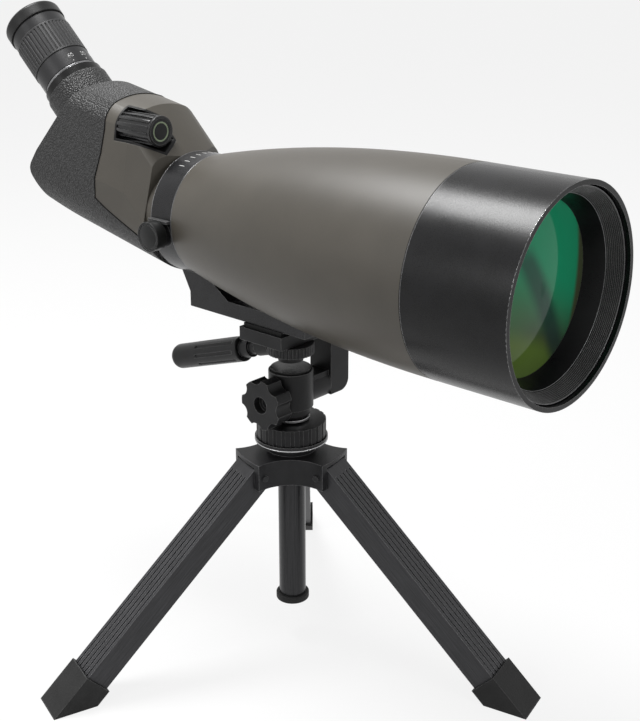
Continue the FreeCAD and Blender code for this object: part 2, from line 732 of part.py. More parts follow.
def flint_lens():
    rim_w = lens_r - lens_clear_r
    return lens(flint_front_x, flint_front_bulge, flint_rear_x, flint_rear_bulge, lens_r, rim_w)


def lens_spacer_ring():
    return tube(lens_r, lens_clear_r, spacer_t, V(flint_front_x, 0, axis_z), X)


def lens_retaining_ring():
    step_x = lens_edge_x + cone_ring_step
    end_x = lens_edge_x + retainer_t
    return turned_points([(lens_edge_x, lens_r), (end_x, lens_r), (end_x, cell_front_r),
                          (step_x, cell_front_r), (step_x, cone_step_r), (lens_edge_x, lens_clear_r)])


def front_cone_ring():
    step_x = lens_edge_x + cone_ring_step
    mouth_x = lens_edge_x + cone_ring_end
    return turned_points([(step_x, cell_front_r), (mouth_x, cell_front_r), (mouth_x, cone_mouth_r),
                          (step_x, cone_step_r + 0.8)])


def light_baffle():
    flange_x = housing_front_x - journal_tail
    flange_t = 3.0
    flange = tube(journal_r - journal_wall - SEAT, baffle_hole_r, flange_t, V(flange_x, 0, axis_z), X)
    sleeve = tube(baffle_r, baffle_r - baffle_wall, baffle_length, V(flange_x, 0, axis_z), X)
    rod_hole = cyl(guide_rod_r + SEAT, flange_t, V(flange_x, guide_rod_y, axis_z), X)
    return fuse(flange, sleeve).cut(rod_hole)


# ================================================================ prism housing
def from_front(points):
    "Housing points are offsets from where its front crosses the optical axis."
    return [(housing_front_x + x, axis_z + z) for x, z in points]


def housing_reach():
    "A length that passes well beyond the housing in every direction."
    return 3 * housing_crown_rear[1]


def long_bar(edges, start, end, inset):
    "Bar with the given section, shrunk by inset, that runs through two points and far beyond."
    section = Part.Wire(Part.__sortEdges__(edges))
    if inset > 0:
        section = section.makeOffset2D(-inset, 2)
    run = (end - start).normalize()
    bar = Part.Face(section).extrude(run * 2 * housing_reach())
    bar.translate(run * -housing_reach())
    return bar


def section_edges(start, halves, deep):
    "Closed section from arcs and lines given for one side as (half width, height) points."
    def at(side, point):
        return V(start.x, side * point[0], start.z + point[1])
    edges = []
    for side in (-1, 1):
        for points in halves:
            spots = [at(side, point) for point in points]
            if len(spots) == 3:
                edges.append(Part.Arc(spots[0], spots[1], spots[2]).toShape())
            else:
                edges.append(Part.LineSegment(spots[0], spots[1]).toShape())
        foot = halves[-1][-1]
        edges.append(Part.LineSegment(at(side, foot), at(side, (foot[0], deep))).toShape())
    edges.append(Part.LineSegment(at(-1, (foot[0], deep)), at(1, (foot[0], deep))).toShape())
    return edges


def roof_run(rear, front, inset):
    "Bar with the roof's domed section on top; its ridge passes through two points."
    (rear_x, rear_z), (front_x, front_z) = from_front([rear, front])
    start, end = V(rear_x, 0, rear_z), V(front_x, 0, front_z)
    (dome_w, dome_d), (corner_w, corner_d) = roof_dome, roof_corner
    (shoulder_w, shoulder_d), (side_w, side_d) = roof_shoulder, roof_side
    halves = [[(dome_w, -dome_d), (corner_w, -corner_d), (shoulder_w, -shoulder_d)],
              [(shoulder_w, -shoulder_d), (side_w, -side_d)]]
    edges = section_edges(start, halves, -housing_reach())
    crown = [V(rear_x, y, rear_z - drop) for y, drop in ((-dome_w, dome_d), (0, 0), (dome_w, dome_d))]
    edges.append(Part.Arc(crown[0], crown[1], crown[2]).toShape())
    return long_bar(edges, start, end, inset)


def belly_run(inset):
    "Bar with a flat underside and round lower corners."
    (rear_x, rear_z), (front_x, front_z) = from_front([housing_floor_rear, housing_floor_front])
    start, end = V(rear_x, 0, rear_z), V(front_x, 0, front_z)
    flat_w = housing_half_w - housing_belly_r
    middle = housing_belly_r * math.sqrt(0.5)
    halves = [[(flat_w, 0), (flat_w + middle, housing_belly_r - middle), (housing_half_w, housing_belly_r)]]
    edges = section_edges(start, halves, housing_reach())
    edges.append(Part.LineSegment(V(rear_x, -flat_w, rear_z), V(rear_x, flat_w, rear_z)).toShape())
    return long_bar(edges, start, end, inset)


def housing_form(inset):
    "Outer form of the prism housing, or the same form shrunk by inset for the hollow."
    points = from_front([housing_floor_front, housing_brow, housing_crown_front, housing_crown_rear,
                         housing_tail_top, housing_tail_low, housing_floor_rear])
    corners = [V(x, 0, z) for x, z in points]
    wire = Part.makePolygon(corners + corners[:1])
    if inset > 0:
        wire = wire.makeOffset2D(-inset, 2)
    half_w = housing_half_w - inset
    body = Part.Face(wire).extrude(V(0, 2 * half_w, 0))
    body.translate(V(0, -half_w, 0))
    tail = [e for e in body.Edges if e.BoundBox.YLength > half_w and
            e.BoundBox.XMax < housing_front_x + housing_tail_low[0] + 6]
    body = body.makeFillet(housing_edge_r, tail)
    body = body.common(roof_run(housing_crown_rear, housing_crown_front, inset))
    body = body.common(roof_run(housing_crown_front, housing_brow, inset))
    body = body.common(belly_run(inset))
    reach = housing_reach()
    # the front face sweeps back on both sides
    for way in (-1, 1):
        wedge = [V(housing_front_x - inset, way * prow_half_w, 0),
                 V(housing_front_x - inset - prow_sweep, way * housing_half_w, 0),
                 V(housing_front_x + reach, way * housing_half_w, 0),
                 V(housing_front_x + reach, way * prow_half_w, 0)]
        face = Part.Face(Part.makePolygon(wedge + wedge[:1]))
        body = body.cut(face.extrude(Z * (axis_z + reach)))
    return body


def seam_region():
    points = from_front(seam_line)
    far = housing_front_x + 40
    points += [(far, axis_z + 120), (points[0][0], axis_z + 120)]
    return side_prism(points, 2 * housing_half_w)


def focus_hexagon(inner_r, x0, x1):
    "Six-sided pocket around the focus knob, with a corner on top."
    corner_r = inner_r / math.cos(math.radians(30))
    corners = []
    for i in range(6):
        a = math.radians(30 + 60 * i)
        corners.append(V(x0, focus_knob_y + corner_r * math.cos(a),
                         axis_z + focus_knob_up + corner_r * math.sin(a)))
    return Part.Face(Part.makePolygon(corners + corners[:1])).extrude(V(x1 - x0, 0, 0))


def knob_back_x():
    return housing_front_x + focus_knob_face - focus_knob_l


def pocket_form(extra):
    "Room for the knob, or the liner's outside when extra is its wall."
    back_x = knob_back_x() - LOOSE - extra
    return focus_hexagon(focus_knob_r + focus_pocket_gap + extra, back_x, housing_front_x + 5)


def housing_shells():
    outer = housing_form(0)
    shell = outer.cut(housing_form(housing_wall))
    shell = shell.cut(cyl(journal_r + SEAT, journal_tail, V(housing_front_x - journal_tail, 0, axis_z), X))
    shell = shell.cut(pocket_form(focus_pocket_wall + SEAT))
    screw_room = cyl(focus_shaft_r + LOOSE, focus_shaft_tail, focus_axis(knob_back_x() - focus_shaft_tail), X)
    shell = shell.cut(screw_room)
    socket = on_eyepiece(cyl(socket_r, socket_end - socket_start, V(0, 0, socket_start)))
    bore = on_eyepiece(cyl(eye_barrel_r + SEAT, socket_end, V(0, 0, 0)))
    front = biggest(shell.common(seam_region()))
    rear = biggest(shell.cut(seam_region()))
    return front.cut(bore), fuse(rear, socket).cut(bore)


def biggest(shape):
    return max(shape.Solids, key=lambda solid: solid.Volume)


def focus_pocket():
    liner = pocket_form(focus_pocket_wall).cut(pocket_form(0)).common(housing_form(0))
    bore = cyl(focus_shaft_r + RUNNING, focus_knob_l, V(knob_back_x() - 10, focus_knob_y, axis_z + focus_knob_up), X)
    journal_room = cyl(journal_r + LOOSE, journal_tail + 5, V(housing_front_x - journal_tail, 0, axis_z), X)
    return biggest(liner.cut([bore, journal_room]))


# ================================================================ focusing
def focus_axis(x):
    return V(x, focus_knob_y, axis_z + focus_knob_up)


def focus_knob():
    back_x = knob_back_x()
    body = cyl(focus_knob_r, focus_knob_l, focus_axis(back_x), X)
    rib_l = focus_knob_l - 3
    notch = cyl(focus_knob_notch_r, rib_l, focus_axis(back_x) + Z * (focus_knob_r + focus_knob_notch_r / 3), X)
    body = fluted(body, focus_knob_ribs, notch, focus_axis(back_x), X)
    face_x = back_x + focus_knob_l
    seat = cyl(focus_cap_r + SEAT, focus_cap_t, focus_axis(face_x - focus_cap_t), X)
    return body.cut([seat, cyl(focus_shaft_r + SEAT, focus_knob_l / 2, focus_axis(back_x), X)])


def focus_knob_cap():
    return cyl(focus_cap_r, focus_cap_t, focus_axis(knob_back_x() + focus_knob_l - focus_cap_t), X)


def focus_lead_screw():
    start = knob_back_x() - focus_shaft_tail
    return cyl(focus_shaft_r, focus_shaft_tail + focus_knob_l / 2 - 1, focus_axis(start), X)


def focus_carriage():
    rear_x = housing_front_x + focus_cell_front - focus_cell_length
    ring = cyl(focus_cell_r, focus_cell_length, V(rear_x, 0, axis_z), X)
    nut_x = rear_x - focus_nut_setback
    nut_z = axis_z + focus_knob_up
    nut = cyl(focus_nut_r, focus_nut_l, focus_axis(nut_x), X)
    bridge = block(nut_x, nut_x + focus_nut_l, focus_arm_y, focus_knob_y, nut_z - focus_nut_r, nut_z + focus_nut_r)
    arm_points = [(rear_x, axis_z - 6), (rear_x + 10, axis_z - 6), (rear_x + 10, axis_z + 18),
                  (nut_x + focus_nut_l, axis_z + focus_arm_knee), (nut_x + focus_nut_l, nut_z + focus_nut_r),
                  (nut_x, nut_z + focus_nut_r), (nut_x, axis_z + focus_arm_knee), (rear_x, axis_z + 10)]
    arm = side_prism(arm_points, focus_arm_t, focus_arm_y)
    root = block(rear_x, rear_x + 10, focus_arm_y, -focus_cell_r * 0.7, axis_z - 6, axis_z + 8)
    lug = block(rear_x, rear_x + focus_cell_length, focus_cell_r - 3, guide_rod_y + guide_rod_r + 2,
                axis_z - guide_rod_r - 2, axis_z + guide_rod_r + 2)
    body = fuse(ring, nut, bridge, arm, root, lug)
    bore = cyl(focus_lens_r + SEAT, focus_cell_length, V(rear_x, 0, axis_z), X)
    rod = cyl(guide_rod_r + RUNNING, focus_cell_length, V(rear_x, guide_rod_y, axis_z), X)
    screw = cyl(focus_shaft_r + RUNNING, focus_nut_l, focus_axis(nut_x), X)
    return body.cut([bore, rod, screw])


def focusing_lens():
    mid_x = housing_front_x + focus_cell_front - focus_cell_length / 2
    return lens(mid_x + 2, -1.5, mid_x - 2, 1.5, focus_lens_r)


def focus_guide_rod():
    front_x = housing_front_x - journal_tail + 3
    rear_x = housing_front_x + prism_points[0][0] - 8
    return cyl(guide_rod_r, front_x - rear_x, V(rear_x, guide_rod_y, axis_z), X)


# ================================================================ prism
def erecting_prism():
    return side_prism(from_front(prism_points), prism_half_w)


def prism_holder():
    points = [V(x, 0, z) for x, z in from_front(prism_points)]
    outline = Part.makePolygon(points + points[:1]).makeOffset2D(2.0, 2)
    half_w = prism_half_w + SEAT + holder_plate_t
    body = Part.Face(outline).extrude(V(0, 2 * half_w, 0))
    body.translate(V(0, -half_w, 0))
    hollow = Part.Face(Part.makePolygon(points + points[:1]).makeOffset2D(SEAT, 2))
    hollow = hollow.extrude(V(0, 2 * prism_half_w + 2 * SEAT, 0))
    hollow.translate(V(0, -prism_half_w - SEAT, 0))
    # windows where the light goes in and out
    window_in = cyl(prism_half_w - 2, 20, V(housing_front_x + prism_points[0][0] - 5, 0, axis_z), X)
    window_out = on_eyepiece(cyl(prism_half_w - 2, 20, V(0, 0, 40)))
    ear_x = [housing_front_x + x for x in holder_ear_x]
    ear_z = [axis_z + z for z in holder_ear_z]
    reach = housing_half_w - housing_wall - SEAT
    ears = block(ear_x[0], ear_x[1], -reach, reach, ear_z[0], ear_z[1])
    rod_lug = cyl(guide_rod_r + 2.5, 8, V(housing_front_x + prism_points[0][0] - 8, guide_rod_y, axis_z), X)
    rod_hole = cyl(guide_rod_r + SEAT, 12, V(housing_front_x + prism_points[0][0] - 8, guide_rod_y, axis_z), X)
    body = fuse(body, ears, rod_lug).common(housing_form(housing_wall + SEAT))
    return biggest(body.cut([hollow, window_in, window_out, rod_hole]))


# ================================================================ eyepiece
stop_ring_start = socket_end + SEAT
zoom_ring_start = stop_ring_start + stop_ring_l + LOOSE
grip_ring_start = zoom_ring_start + number_ring_l
zoom_ring_end = grip_ring_start + grip_ring_l
top_band_start = zoom_ring_end + LOOSE
eyecup_start = top_band_start + top_band_l
eye_bore_r = eye_barrel_r - eye_barrel_wall


def eyepiece_barrel():
    return on_eyepiece(tube(eye_barrel_r, eye_bore_r, eyecup_start - eye_barrel_start, V(0, 0, eye_barrel_start)))


def eyepiece_stop_ring():
    return on_eyepiece(tube(stop_ring_r, eye_barrel_r + SEAT, stop_ring_l, V(0, 0, stop_ring_start)))


def zoom_ring():
    numbers = cyl(number_ring_r, number_ring_l, V(0, 0, zoom_ring_start))
    grip = cyl(grip_ring_r, grip_ring_l, V(0, 0, grip_ring_start))
    flute = cyl(grip_ring_flute_r, grip_ring_l - 2, V(grip_ring_r + grip_ring_flute_r / 3, 0, grip_ring_start + 1))
    grip = fluted(grip, grip_ring_flutes, flute, V(0, 0, 0), Z)
    ring = fuse(numbers, grip)
    return on_eyepiece(ring.cut(cyl(eye_barrel_r + RUNNING, number_ring_l + grip_ring_l, V(0, 0, zoom_ring_start))))


def eyepiece_top_band():
    return on_eyepiece(tube(top_band_r, eye_barrel_r + SEAT, top_band_l, V(0, 0, top_band_start)))


def eyecup():
    body = cyl(eyecup_r, eyecup_l, V(0, 0, eyecup_start))
    rim = [e for e in body.Edges if e.BoundBox.ZMin > eyecup_start + eyecup_l - 0.01]
    body = body.makeFillet(2.4, rim)
    return on_eyepiece(body.cut(cyl(eyecup_bore_r, eyecup_l, V(0, 0, eyecup_start))))


def eye_lens_cell():
    start = eyecup_start - 1 - eye_cell_l
    return on_eyepiece(tube(eye_bore_r - SEAT, eye_bore_r - eye_cell_wall, eye_cell_l, V(0, 0, start)))


def eye_lens():
    start = eyecup_start - 1 - (eye_cell_l + eye_lens_t) / 2
    return on_eyepiece(cyl(eye_bore_r - eye_cell_wall - SEAT, eye_lens_t, V(0, 0, start)))


def zoom_cell(start, length):
    "A lens cell that slides in the eyepiece barrel."
    outer = eye_bore_r - RUNNING
    return on_eyepiece(tube(outer, outer - zoom_cell_wall, length, V(0, 0, start)))


def zoom_lens(start, length):
    radius = eye_bore_r - RUNNING - zoom_cell_wall - SEAT
    return on_eyepiece(cyl(radius, zoom_lens_t, V(0, 0, start + (length - zoom_lens_t) / 2)))


def field_stop():
    return on_eyepiece(tube(eye_bore_r - SEAT, field_stop_hole_r, field_stop_t, V(0, 0, field_stop_start)))


# ================================================================ all pieces
def pieces():
    front_shell, rear_shell = housing_shells()
    made = {
        "tripod_hub": tripod_hub(),
        "leg_pins": leg_pins(),
        "column_collet": column_collet(),
        "hub_base_ring": hub_base_ring(),
        "column_lock_collar": column_lock_collar(),
        "column_tube": column_tube(),
        "column_end_cap": column_end_cap(),
        "pan_stud": pan_stud(),
        "head_body": head_body(),
        "head_cap": head_cap(),
        "tilt_bracket": tilt_bracket(),
        "tilt_bolt": tilt_bolt(),
        "tilt_lock_knob": tilt_lock_knob(),
        "handle_grip": handle_grip(),
        "handle_ferrule": handle_ferrule(),
        "handle_stud": handle_stud(),
        "platform_pad": platform_pad(),
        "camera_thumbwheel": camera_thumbwheel(),
        "camera_screw": camera_screw(),
        "mounting_collar": mounting_collar(),
        "collar_lock_knob": collar_lock_knob(),
        "collar_lock_screw": collar_lock_screw(),
        "barrel_shell": barrel_shell(),
        "lens_hood": lens_hood(),
        "objective_cell": objective_cell(),
        "crown_lens": crown_lens(),
        "flint_lens": flint_lens(),
        "lens_spacer_ring": lens_spacer_ring(),
        "lens_retaining_ring": lens_retaining_ring(),
        "front_cone_ring": front_cone_ring(),
        "light_baffle": light_baffle(),
        "housing_front_shell": front_shell,
        "housing_rear_shell": rear_shell,
        "focus_pocket": focus_pocket(),
        "focus_knob": focus_knob(),
        "focus_knob_cap": focus_knob_cap(),
        "focus_lead_screw": focus_lead_screw(),
        "focus_carriage": focus_carriage(),
        "focusing_lens": focusing_lens(),
        "focus_guide_rod": focus_guide_rod(),
        "erecting_prism": erecting_prism(),
        "prism_holder": prism_holder(),
        "eyepiece_barrel": eyepiece_barrel(),
        "eyepiece_stop_ring": eyepiece_stop_ring(),
        "zoom_ring": zoom_ring(),
        "eyepiece_top_band": eyepiece_top_band(),
        "eyecup": eyecup(),
        "eye_lens_cell": eye_lens_cell(),
        "eye_lens": eye_lens(),
        "zoom_field_cell": zoom_cell(field_cell_start, field_cell_l),
        "zoom_field_lens": zoom_lens(field_cell_start, field_cell_l),
        "zoom_erector_cell": zoom_cell(erector_cell_start, erector_cell_l),
        "zoom_erector_lens": zoom_lens(erector_cell_start, erector_cell_l),
        "field_stop": field_stop(),
    }
    for name, heading in (("front", hub_yaw), ("left", hub_yaw - 120), ("rear", hub_yaw + 120)):
        made["leg_" + name] = around_z(leg_bar(), heading)
        made["foot_" + name] = around_z(leg_foot(), heading)
    return made


os.makedirs("parts", exist_ok=True)
for name, shape in pieces().items():
    shape.exportStep("parts/" + name + ".step")
    box = shape.BoundBox
    print("%-22s solids %d valid %s volume %9.0f  x %7.1f %7.1f  y %6.1f %6.1f  z %6.1f %6.1f" % (
        name, len(shape.Solids), shape.isValid(), shape.Volume,
        box.XMin, box.XMax, box.YMin, box.YMax, box.ZMin, box.ZMax))
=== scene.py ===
import bpy
import json
import math
from mathutils import Matrix, Vector


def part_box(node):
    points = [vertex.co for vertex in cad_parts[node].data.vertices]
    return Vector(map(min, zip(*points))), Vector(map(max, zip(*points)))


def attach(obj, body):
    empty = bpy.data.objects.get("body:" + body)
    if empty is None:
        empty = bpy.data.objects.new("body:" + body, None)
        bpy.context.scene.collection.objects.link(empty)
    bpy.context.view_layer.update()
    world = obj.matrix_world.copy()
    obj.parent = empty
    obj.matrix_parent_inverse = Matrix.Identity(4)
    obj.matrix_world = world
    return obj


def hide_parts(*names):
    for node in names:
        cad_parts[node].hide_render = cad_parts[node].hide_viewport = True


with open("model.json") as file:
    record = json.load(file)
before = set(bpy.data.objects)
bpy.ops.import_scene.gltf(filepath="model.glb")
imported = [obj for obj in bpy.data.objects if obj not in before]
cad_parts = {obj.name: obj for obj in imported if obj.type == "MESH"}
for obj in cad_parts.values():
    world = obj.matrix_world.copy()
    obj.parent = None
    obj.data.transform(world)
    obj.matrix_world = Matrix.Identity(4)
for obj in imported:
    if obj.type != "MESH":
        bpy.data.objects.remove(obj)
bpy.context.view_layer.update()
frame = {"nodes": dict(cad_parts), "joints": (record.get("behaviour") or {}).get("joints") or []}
node = frame["nodes"]


# ------------------------------------------------------------------ tripod hub
# Die-cast hub with three lobes, a leg hinged under each, painted dark grey with a
# fine grain. Its edges carry a painted highlight. Three plain steel pins carry the legs.
class Term:
    "An output of a shader node that can be used in sums."

    def __init__(self, finish, socket):
        self.finish = finish
        self.socket = socket

    def maths(self, operation, *others):
        values = [other.socket if isinstance(other, Term) else other for other in others]
        return self.finish.node("ShaderNodeMath", dict(enumerate(values)), operation=operation)

    def __add__(self, other):
        return self.maths("ADD", self, other)

    __radd__ = __add__

    def __sub__(self, other):
        return self.maths("SUBTRACT", self, other)

    def __rsub__(self, other):
        return self.maths("SUBTRACT", other, self)

    def __mul__(self, other):
        return self.maths("MULTIPLY", self, other)

    __rmul__ = __mul__

    def root(self):
        return self.finish.node("ShaderNodeMath", {0: self}, operation="SQRT")

    def ramp(self, low, high, start=0.0, end=1.0):
        "Goes from start to end as this value goes from low to high."
        values = {"Value": self.socket, "From Min": low, "From Max": high,
                  "To Min": start, "To Max": end}
        return self.finish.node("ShaderNodeMapRange", values, interpolation_type="SMOOTHSTEP")


class Finish:
    "A surface finish: a material with one Principled shader."

    def __init__(self, name, roughness=0.5, metallic=0.0, specular=0.5,
                 coat=0.0, coat_roughness=0.2):
        self.material = bpy.data.materials.new(name)
        self.material.use_nodes = True
        self.tree = self.material.node_tree
        self.shader = self.tree.nodes["Principled BSDF"]
        self.set("Roughness", roughness)
        self.set("Metallic", metallic)
        self.set("Specular IOR Level", specular)
        self.set("Coat Weight", coat)
        self.set("Coat Roughness", coat_roughness)
        self.place = self.node("ShaderNodeTexCoord", {}, out="Object")

    def node(self, kind, values, out=0, **settings):
        "Adds any node: its settings first, then the values or links of its sockets."
        made = self.tree.nodes.new(kind)
        for key, value in settings.items():
            setattr(made, key, value)
        for key, value in values.items():
            if isinstance(value, Term):
                value = value.socket
            if isinstance(value, bpy.types.NodeSocket):
                self.tree.links.new(value, made.inputs[key])
            else:
                made.inputs[key].default_value = value
        return Term(self, made.outputs[out])

    def set(self, key, value):
        if isinstance(value, Term):
            self.tree.links.new(value.socket, self.shader.inputs[key])
        else:
            self.shader.inputs[key].default_value = value

    def along(self, direction, start=(0, 0, 0)):
        "How far a point lies from start along a direction, in metres."
        gap = self.node("ShaderNodeVectorMath", {0: self.place, 1: tuple(start)},
                        operation="SUBTRACT")
        return self.node("ShaderNodeVectorMath", {0: gap, 1: tuple(direction)}, out="Value",
                         operation="DOT_PRODUCT")

    def noise(self, size, detail=3.0, rough=0.55, stretch=(1, 1, 1)):
        "Cloudy pattern with features of about this size, in metres."
        spot = self.node("ShaderNodeVectorMath", {0: self.place, 1: stretch}, operation="MULTIPLY")
        values = {"Vector": spot, "Scale": 1 / size, "Detail": detail, "Roughness": rough}
        return self.node("ShaderNodeTexNoise", values)

    def cells(self, size):
        "Distance from the nearest point of a scatter with this spacing."
        return self.node("ShaderNodeTexVoronoi", {"Vector": self.place, "Scale": 1 / size})

    def mix(self, factor, first, second):
        "Blends two colours."
        values = {"Factor": factor, "A": first, "B": second}
        made = self.tree.nodes.new("ShaderNodeMix")
        made.data_type = "RGBA"
        for socket in made.inputs:
            if socket.enabled and socket.name in values:
                value = values[socket.name]
                if isinstance(value, Term):
                    self.tree.links.new(value.socket, socket)
                else:
                    socket.default_value = tuple(value) + (1,) if socket.name != "Factor" else value
        return Term(self, [o for o in made.outputs if o.enabled][0])

    def edges(self, radius):
        "Rounded normal, and how strongly an edge is near."
        soft = self.node("ShaderNodeBevel", {"Radius": radius}, samples=6)
        flat = self.node("ShaderNodeNewGeometry", {}, out="Normal")
        facing = self.node("ShaderNodeVectorMath", {0: soft, 1: flat}, out="Value",
                           operation="DOT_PRODUCT")
        return soft, (1 - facing).ramp(0.02, 0.15)

    def bump(self, height, distance, normal=None, strength=1.0):
        values = {"Height": height, "Distance": distance, "Strength": strength}
        if normal is not None:
            values["Normal"] = normal
        self.set("Normal", self.node("ShaderNodeBump", values))

    def on(self, *names):
        for name in names:
            mesh = node[name].data
            mesh.materials.clear()
            mesh.materials.append(self.material)


def moulded(name, colour, edge_glint, roughness, grain, depth, edge=0.0005, spread=0.12, **more):
    """Painted, cast or moulded surface: clouded colour, fine grain and a painted highlight on its
    edges.
    """
    made = Finish(name, **{"specular": 0.18, **more})
    soft, near_edge = made.edges(edge)
    cloud = made.noise(0.018)
    fine = made.noise(grain, detail=2.0)
    deep = [c * (1 - 2 * spread) for c in colour]
    pale = [c * (1 + 2 * spread) for c in colour]
    body = made.mix(cloud.ramp(0.3, 0.7), deep, pale)
    # Near the edges the colour goes lighter: a painted highlight.
    made.set("Base Color", made.mix(near_edge * fine.ramp(0.2, 0.55), body, edge_glint))
    made.set("Roughness", cloud * 0.1 + fine * 0.12 + (roughness - 0.11))
    made.bump(fine, depth, soft)
    return made


moulded(
    "hub_cast_paint", colour=(0.014, 0.014, 0.015), edge_glint=(0.17, 0.17, 0.175), roughness=0.4,
    grain=0.0006, depth=0.0001, edge=0.0007).on("tripod_hub")
pin_steel = moulded(
    "pin_steel", colour=(0.42, 0.42, 0.43), edge_glint=(0.6, 0.6, 0.6), roughness=0.28, grain=0.0003,
    depth=0.00001, metallic=1.0)
pin_steel.on("collar_lock_screw", "focus_lead_screw", "focus_guide_rod", "handle_stud", "pan_stud")
moulded(
    "pin_oxide", colour=(0.02, 0.02, 0.021), edge_glint=(0.1, 0.1, 0.1), roughness=0.4, grain=0.0003,
    depth=0.00001).on("leg_pins")


# ------------------------------------------------------------------ base ring
# A thin turned steel ring sits on the hub's boss, under the lock collar. Its polished
# lower lip shows as a bright line.
def turned_ring(centre, axis, radius, half_width, half_height, steps=144):
    "Ring made by spinning a rounded section round an axis."
    centre, axis = Vector(centre), Vector(axis).normalized()
    side = axis.orthogonal().normalized()
    bpy.ops.object.select_all(action="DESELECT")
    bpy.ops.mesh.primitive_circle_add(vertices=10, radius=1)
    ring = bpy.context.object
    turn = Matrix((axis, side, axis.cross(side))).transposed().to_4x4()
    ring.matrix_world = (Matrix.Translation(centre + side * radius) @ turn
                         @ Matrix.Diagonal((half_width, half_height, 1, 1)))
    bpy.ops.object.transform_apply(location=True, rotation=True, scale=True)
    bpy.ops.object.mode_set(mode="EDIT")
    bpy.ops.mesh.select_all(action="SELECT")
    bpy.ops.mesh.spin(steps=steps, angle=2 * math.pi, center=centre, axis=axis)
    bpy.ops.mesh.select_all(action="SELECT")
    bpy.ops.mesh.remove_doubles(threshold=0.000001)
    bpy.ops.mesh.normals_make_consistent(inside=False)
    bpy.ops.mesh.faces_shade_smooth()
    bpy.ops.object.mode_set(mode="OBJECT")
    return ring


def joined(pieces):
    "One piece from several."
    bpy.ops.object.select_all(action="DESELECT")
    for piece in pieces:
        piece.select_set(True)
    bpy.context.view_layer.objects.active = pieces[0]
    if len(pieces) > 1:
        bpy.ops.object.join()
    return bpy.context.object


def fit(piece, name, body, finish):
    "Names a new piece, gives it its finish and fixes it to a body."
    piece.name = name
    piece.data.name = name
    piece.data.materials.clear()
    piece.data.materials.append(finish.material)
    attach(piece, body)
    return piece


polished = moulded(
    "polished_lip", colour=(0.5, 0.5, 0.51), edge_glint=(0.7, 0.7, 0.7), roughness=0.24, grain=0.0003,
    depth=0.000005, metallic=1.0)
ring_low, ring_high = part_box("hub_base_ring")
ring_r = (ring_high.x - ring_low.x) / 2
LIP_HEIGHT = 0.0006
LIP_SECTION = (0.0004, 0.0003)
UPRIGHT = (0, 0, 1)
lip = turned_ring((0, 0, ring_low.z + LIP_HEIGHT), UPRIGHT, ring_r - 0.0001, *LIP_SECTION)
fit(lip, "base_ring_lip", "tripod", polished)
moulded(
    "base_ring_black", colour=(0.02, 0.02, 0.021), edge_glint=(0.3, 0.3, 0.3), roughness=0.25,
    grain=0.0004, depth=0.00002).on("hub_base_ring")

# ------------------------------------------------------------------ legs and feet
# Extruded alloy legs, dark anodised, with five lengthwise grooves in the top face.
# The extrusion and brushing leave long fine streaks. The feet are moulded rubber shoes.
LEG_HEADINGS = {"front": 12.0, "left": -108.0, "rear": 132.0}
LEG_SPLAY = 44.0
STREAK_STRETCH = (0.02, 1, 1)
STREAKS_PER_METRE = 2600
for leg, heading in LEG_HEADINGS.items():
    alloy = Finish("leg_alloy_" + leg, metallic=0.3, specular=0.35)
    soft, near_edge = alloy.edges(0.0005)
    turn_back = (0, 0, -math.radians(heading))
    lay_down = (0, -math.radians(LEG_SPLAY), 0)
    turned = alloy.node("ShaderNodeMapping", {"Vector": alloy.place, "Rotation": turn_back})
    laid = alloy.node("ShaderNodeMapping", {"Vector": turned, "Rotation": lay_down})
    streak_spot = alloy.node("ShaderNodeVectorMath", {0: laid, 1: STREAK_STRETCH},
                             operation="MULTIPLY")
    streak = alloy.node("ShaderNodeTexNoise", {"Vector": streak_spot, "Detail": 2.0,
                                               "Scale": STREAKS_PER_METRE})
    cloud = alloy.noise(0.03)
    body = alloy.mix(streak.ramp(0.25, 0.75), (0.018, 0.018, 0.0195), (0.04, 0.04, 0.043))
    # Near the edges the colour goes towards light grey: a painted highlight.
    alloy.set("Base Color", alloy.mix(near_edge * 0.8, body, (0.24, 0.24, 0.25)))
    alloy.set("Roughness", streak * 0.16 + cloud * 0.1 + 0.27)
    alloy.bump(streak, 0.00003, soft)
    alloy.on("leg_" + leg)
foot_rubber = moulded(
    "foot_rubber", colour=(0.016, 0.016, 0.016), edge_glint=(0.09, 0.09, 0.09), roughness=0.55,
    grain=0.0008, depth=0.0002, edge=0.0012)
foot_rubber.on("foot_front", "foot_left", "foot_rear", "column_end_cap")

# ------------------------------------------------------------------ centre column
# Drawn alloy tube, black anodised, that slides in a slit collet in the hub. A knurled
# plastic collar screws down over the collet to lock it. A rubber cap closes the bottom.
tube_alloy = Finish("column_anodised", metallic=0.4, specular=0.4)
drawn = tube_alloy.noise(0.0006, detail=2.0, stretch=(1, 1, 0.015))
soft = tube_alloy.edges(0.0003)[0]
drawn_shade = tube_alloy.mix(drawn.ramp(0.2, 0.8), (0.014, 0.014, 0.015), (0.03, 0.03, 0.032))
tube_alloy.set("Base Color", drawn_shade)
tube_alloy.set("Roughness", drawn * 0.2 + 0.2)
tube_alloy.bump(drawn, 0.00002, soft)
tube_alloy.on("column_tube", "column_collet")
moulded(
    "lock_collar_plastic", colour=(0.01, 0.01, 0.0105), edge_glint=(0.16, 0.16, 0.16), roughness=0.36,
    grain=0.0005, depth=0.00006, edge=0.0006).on("column_lock_collar")
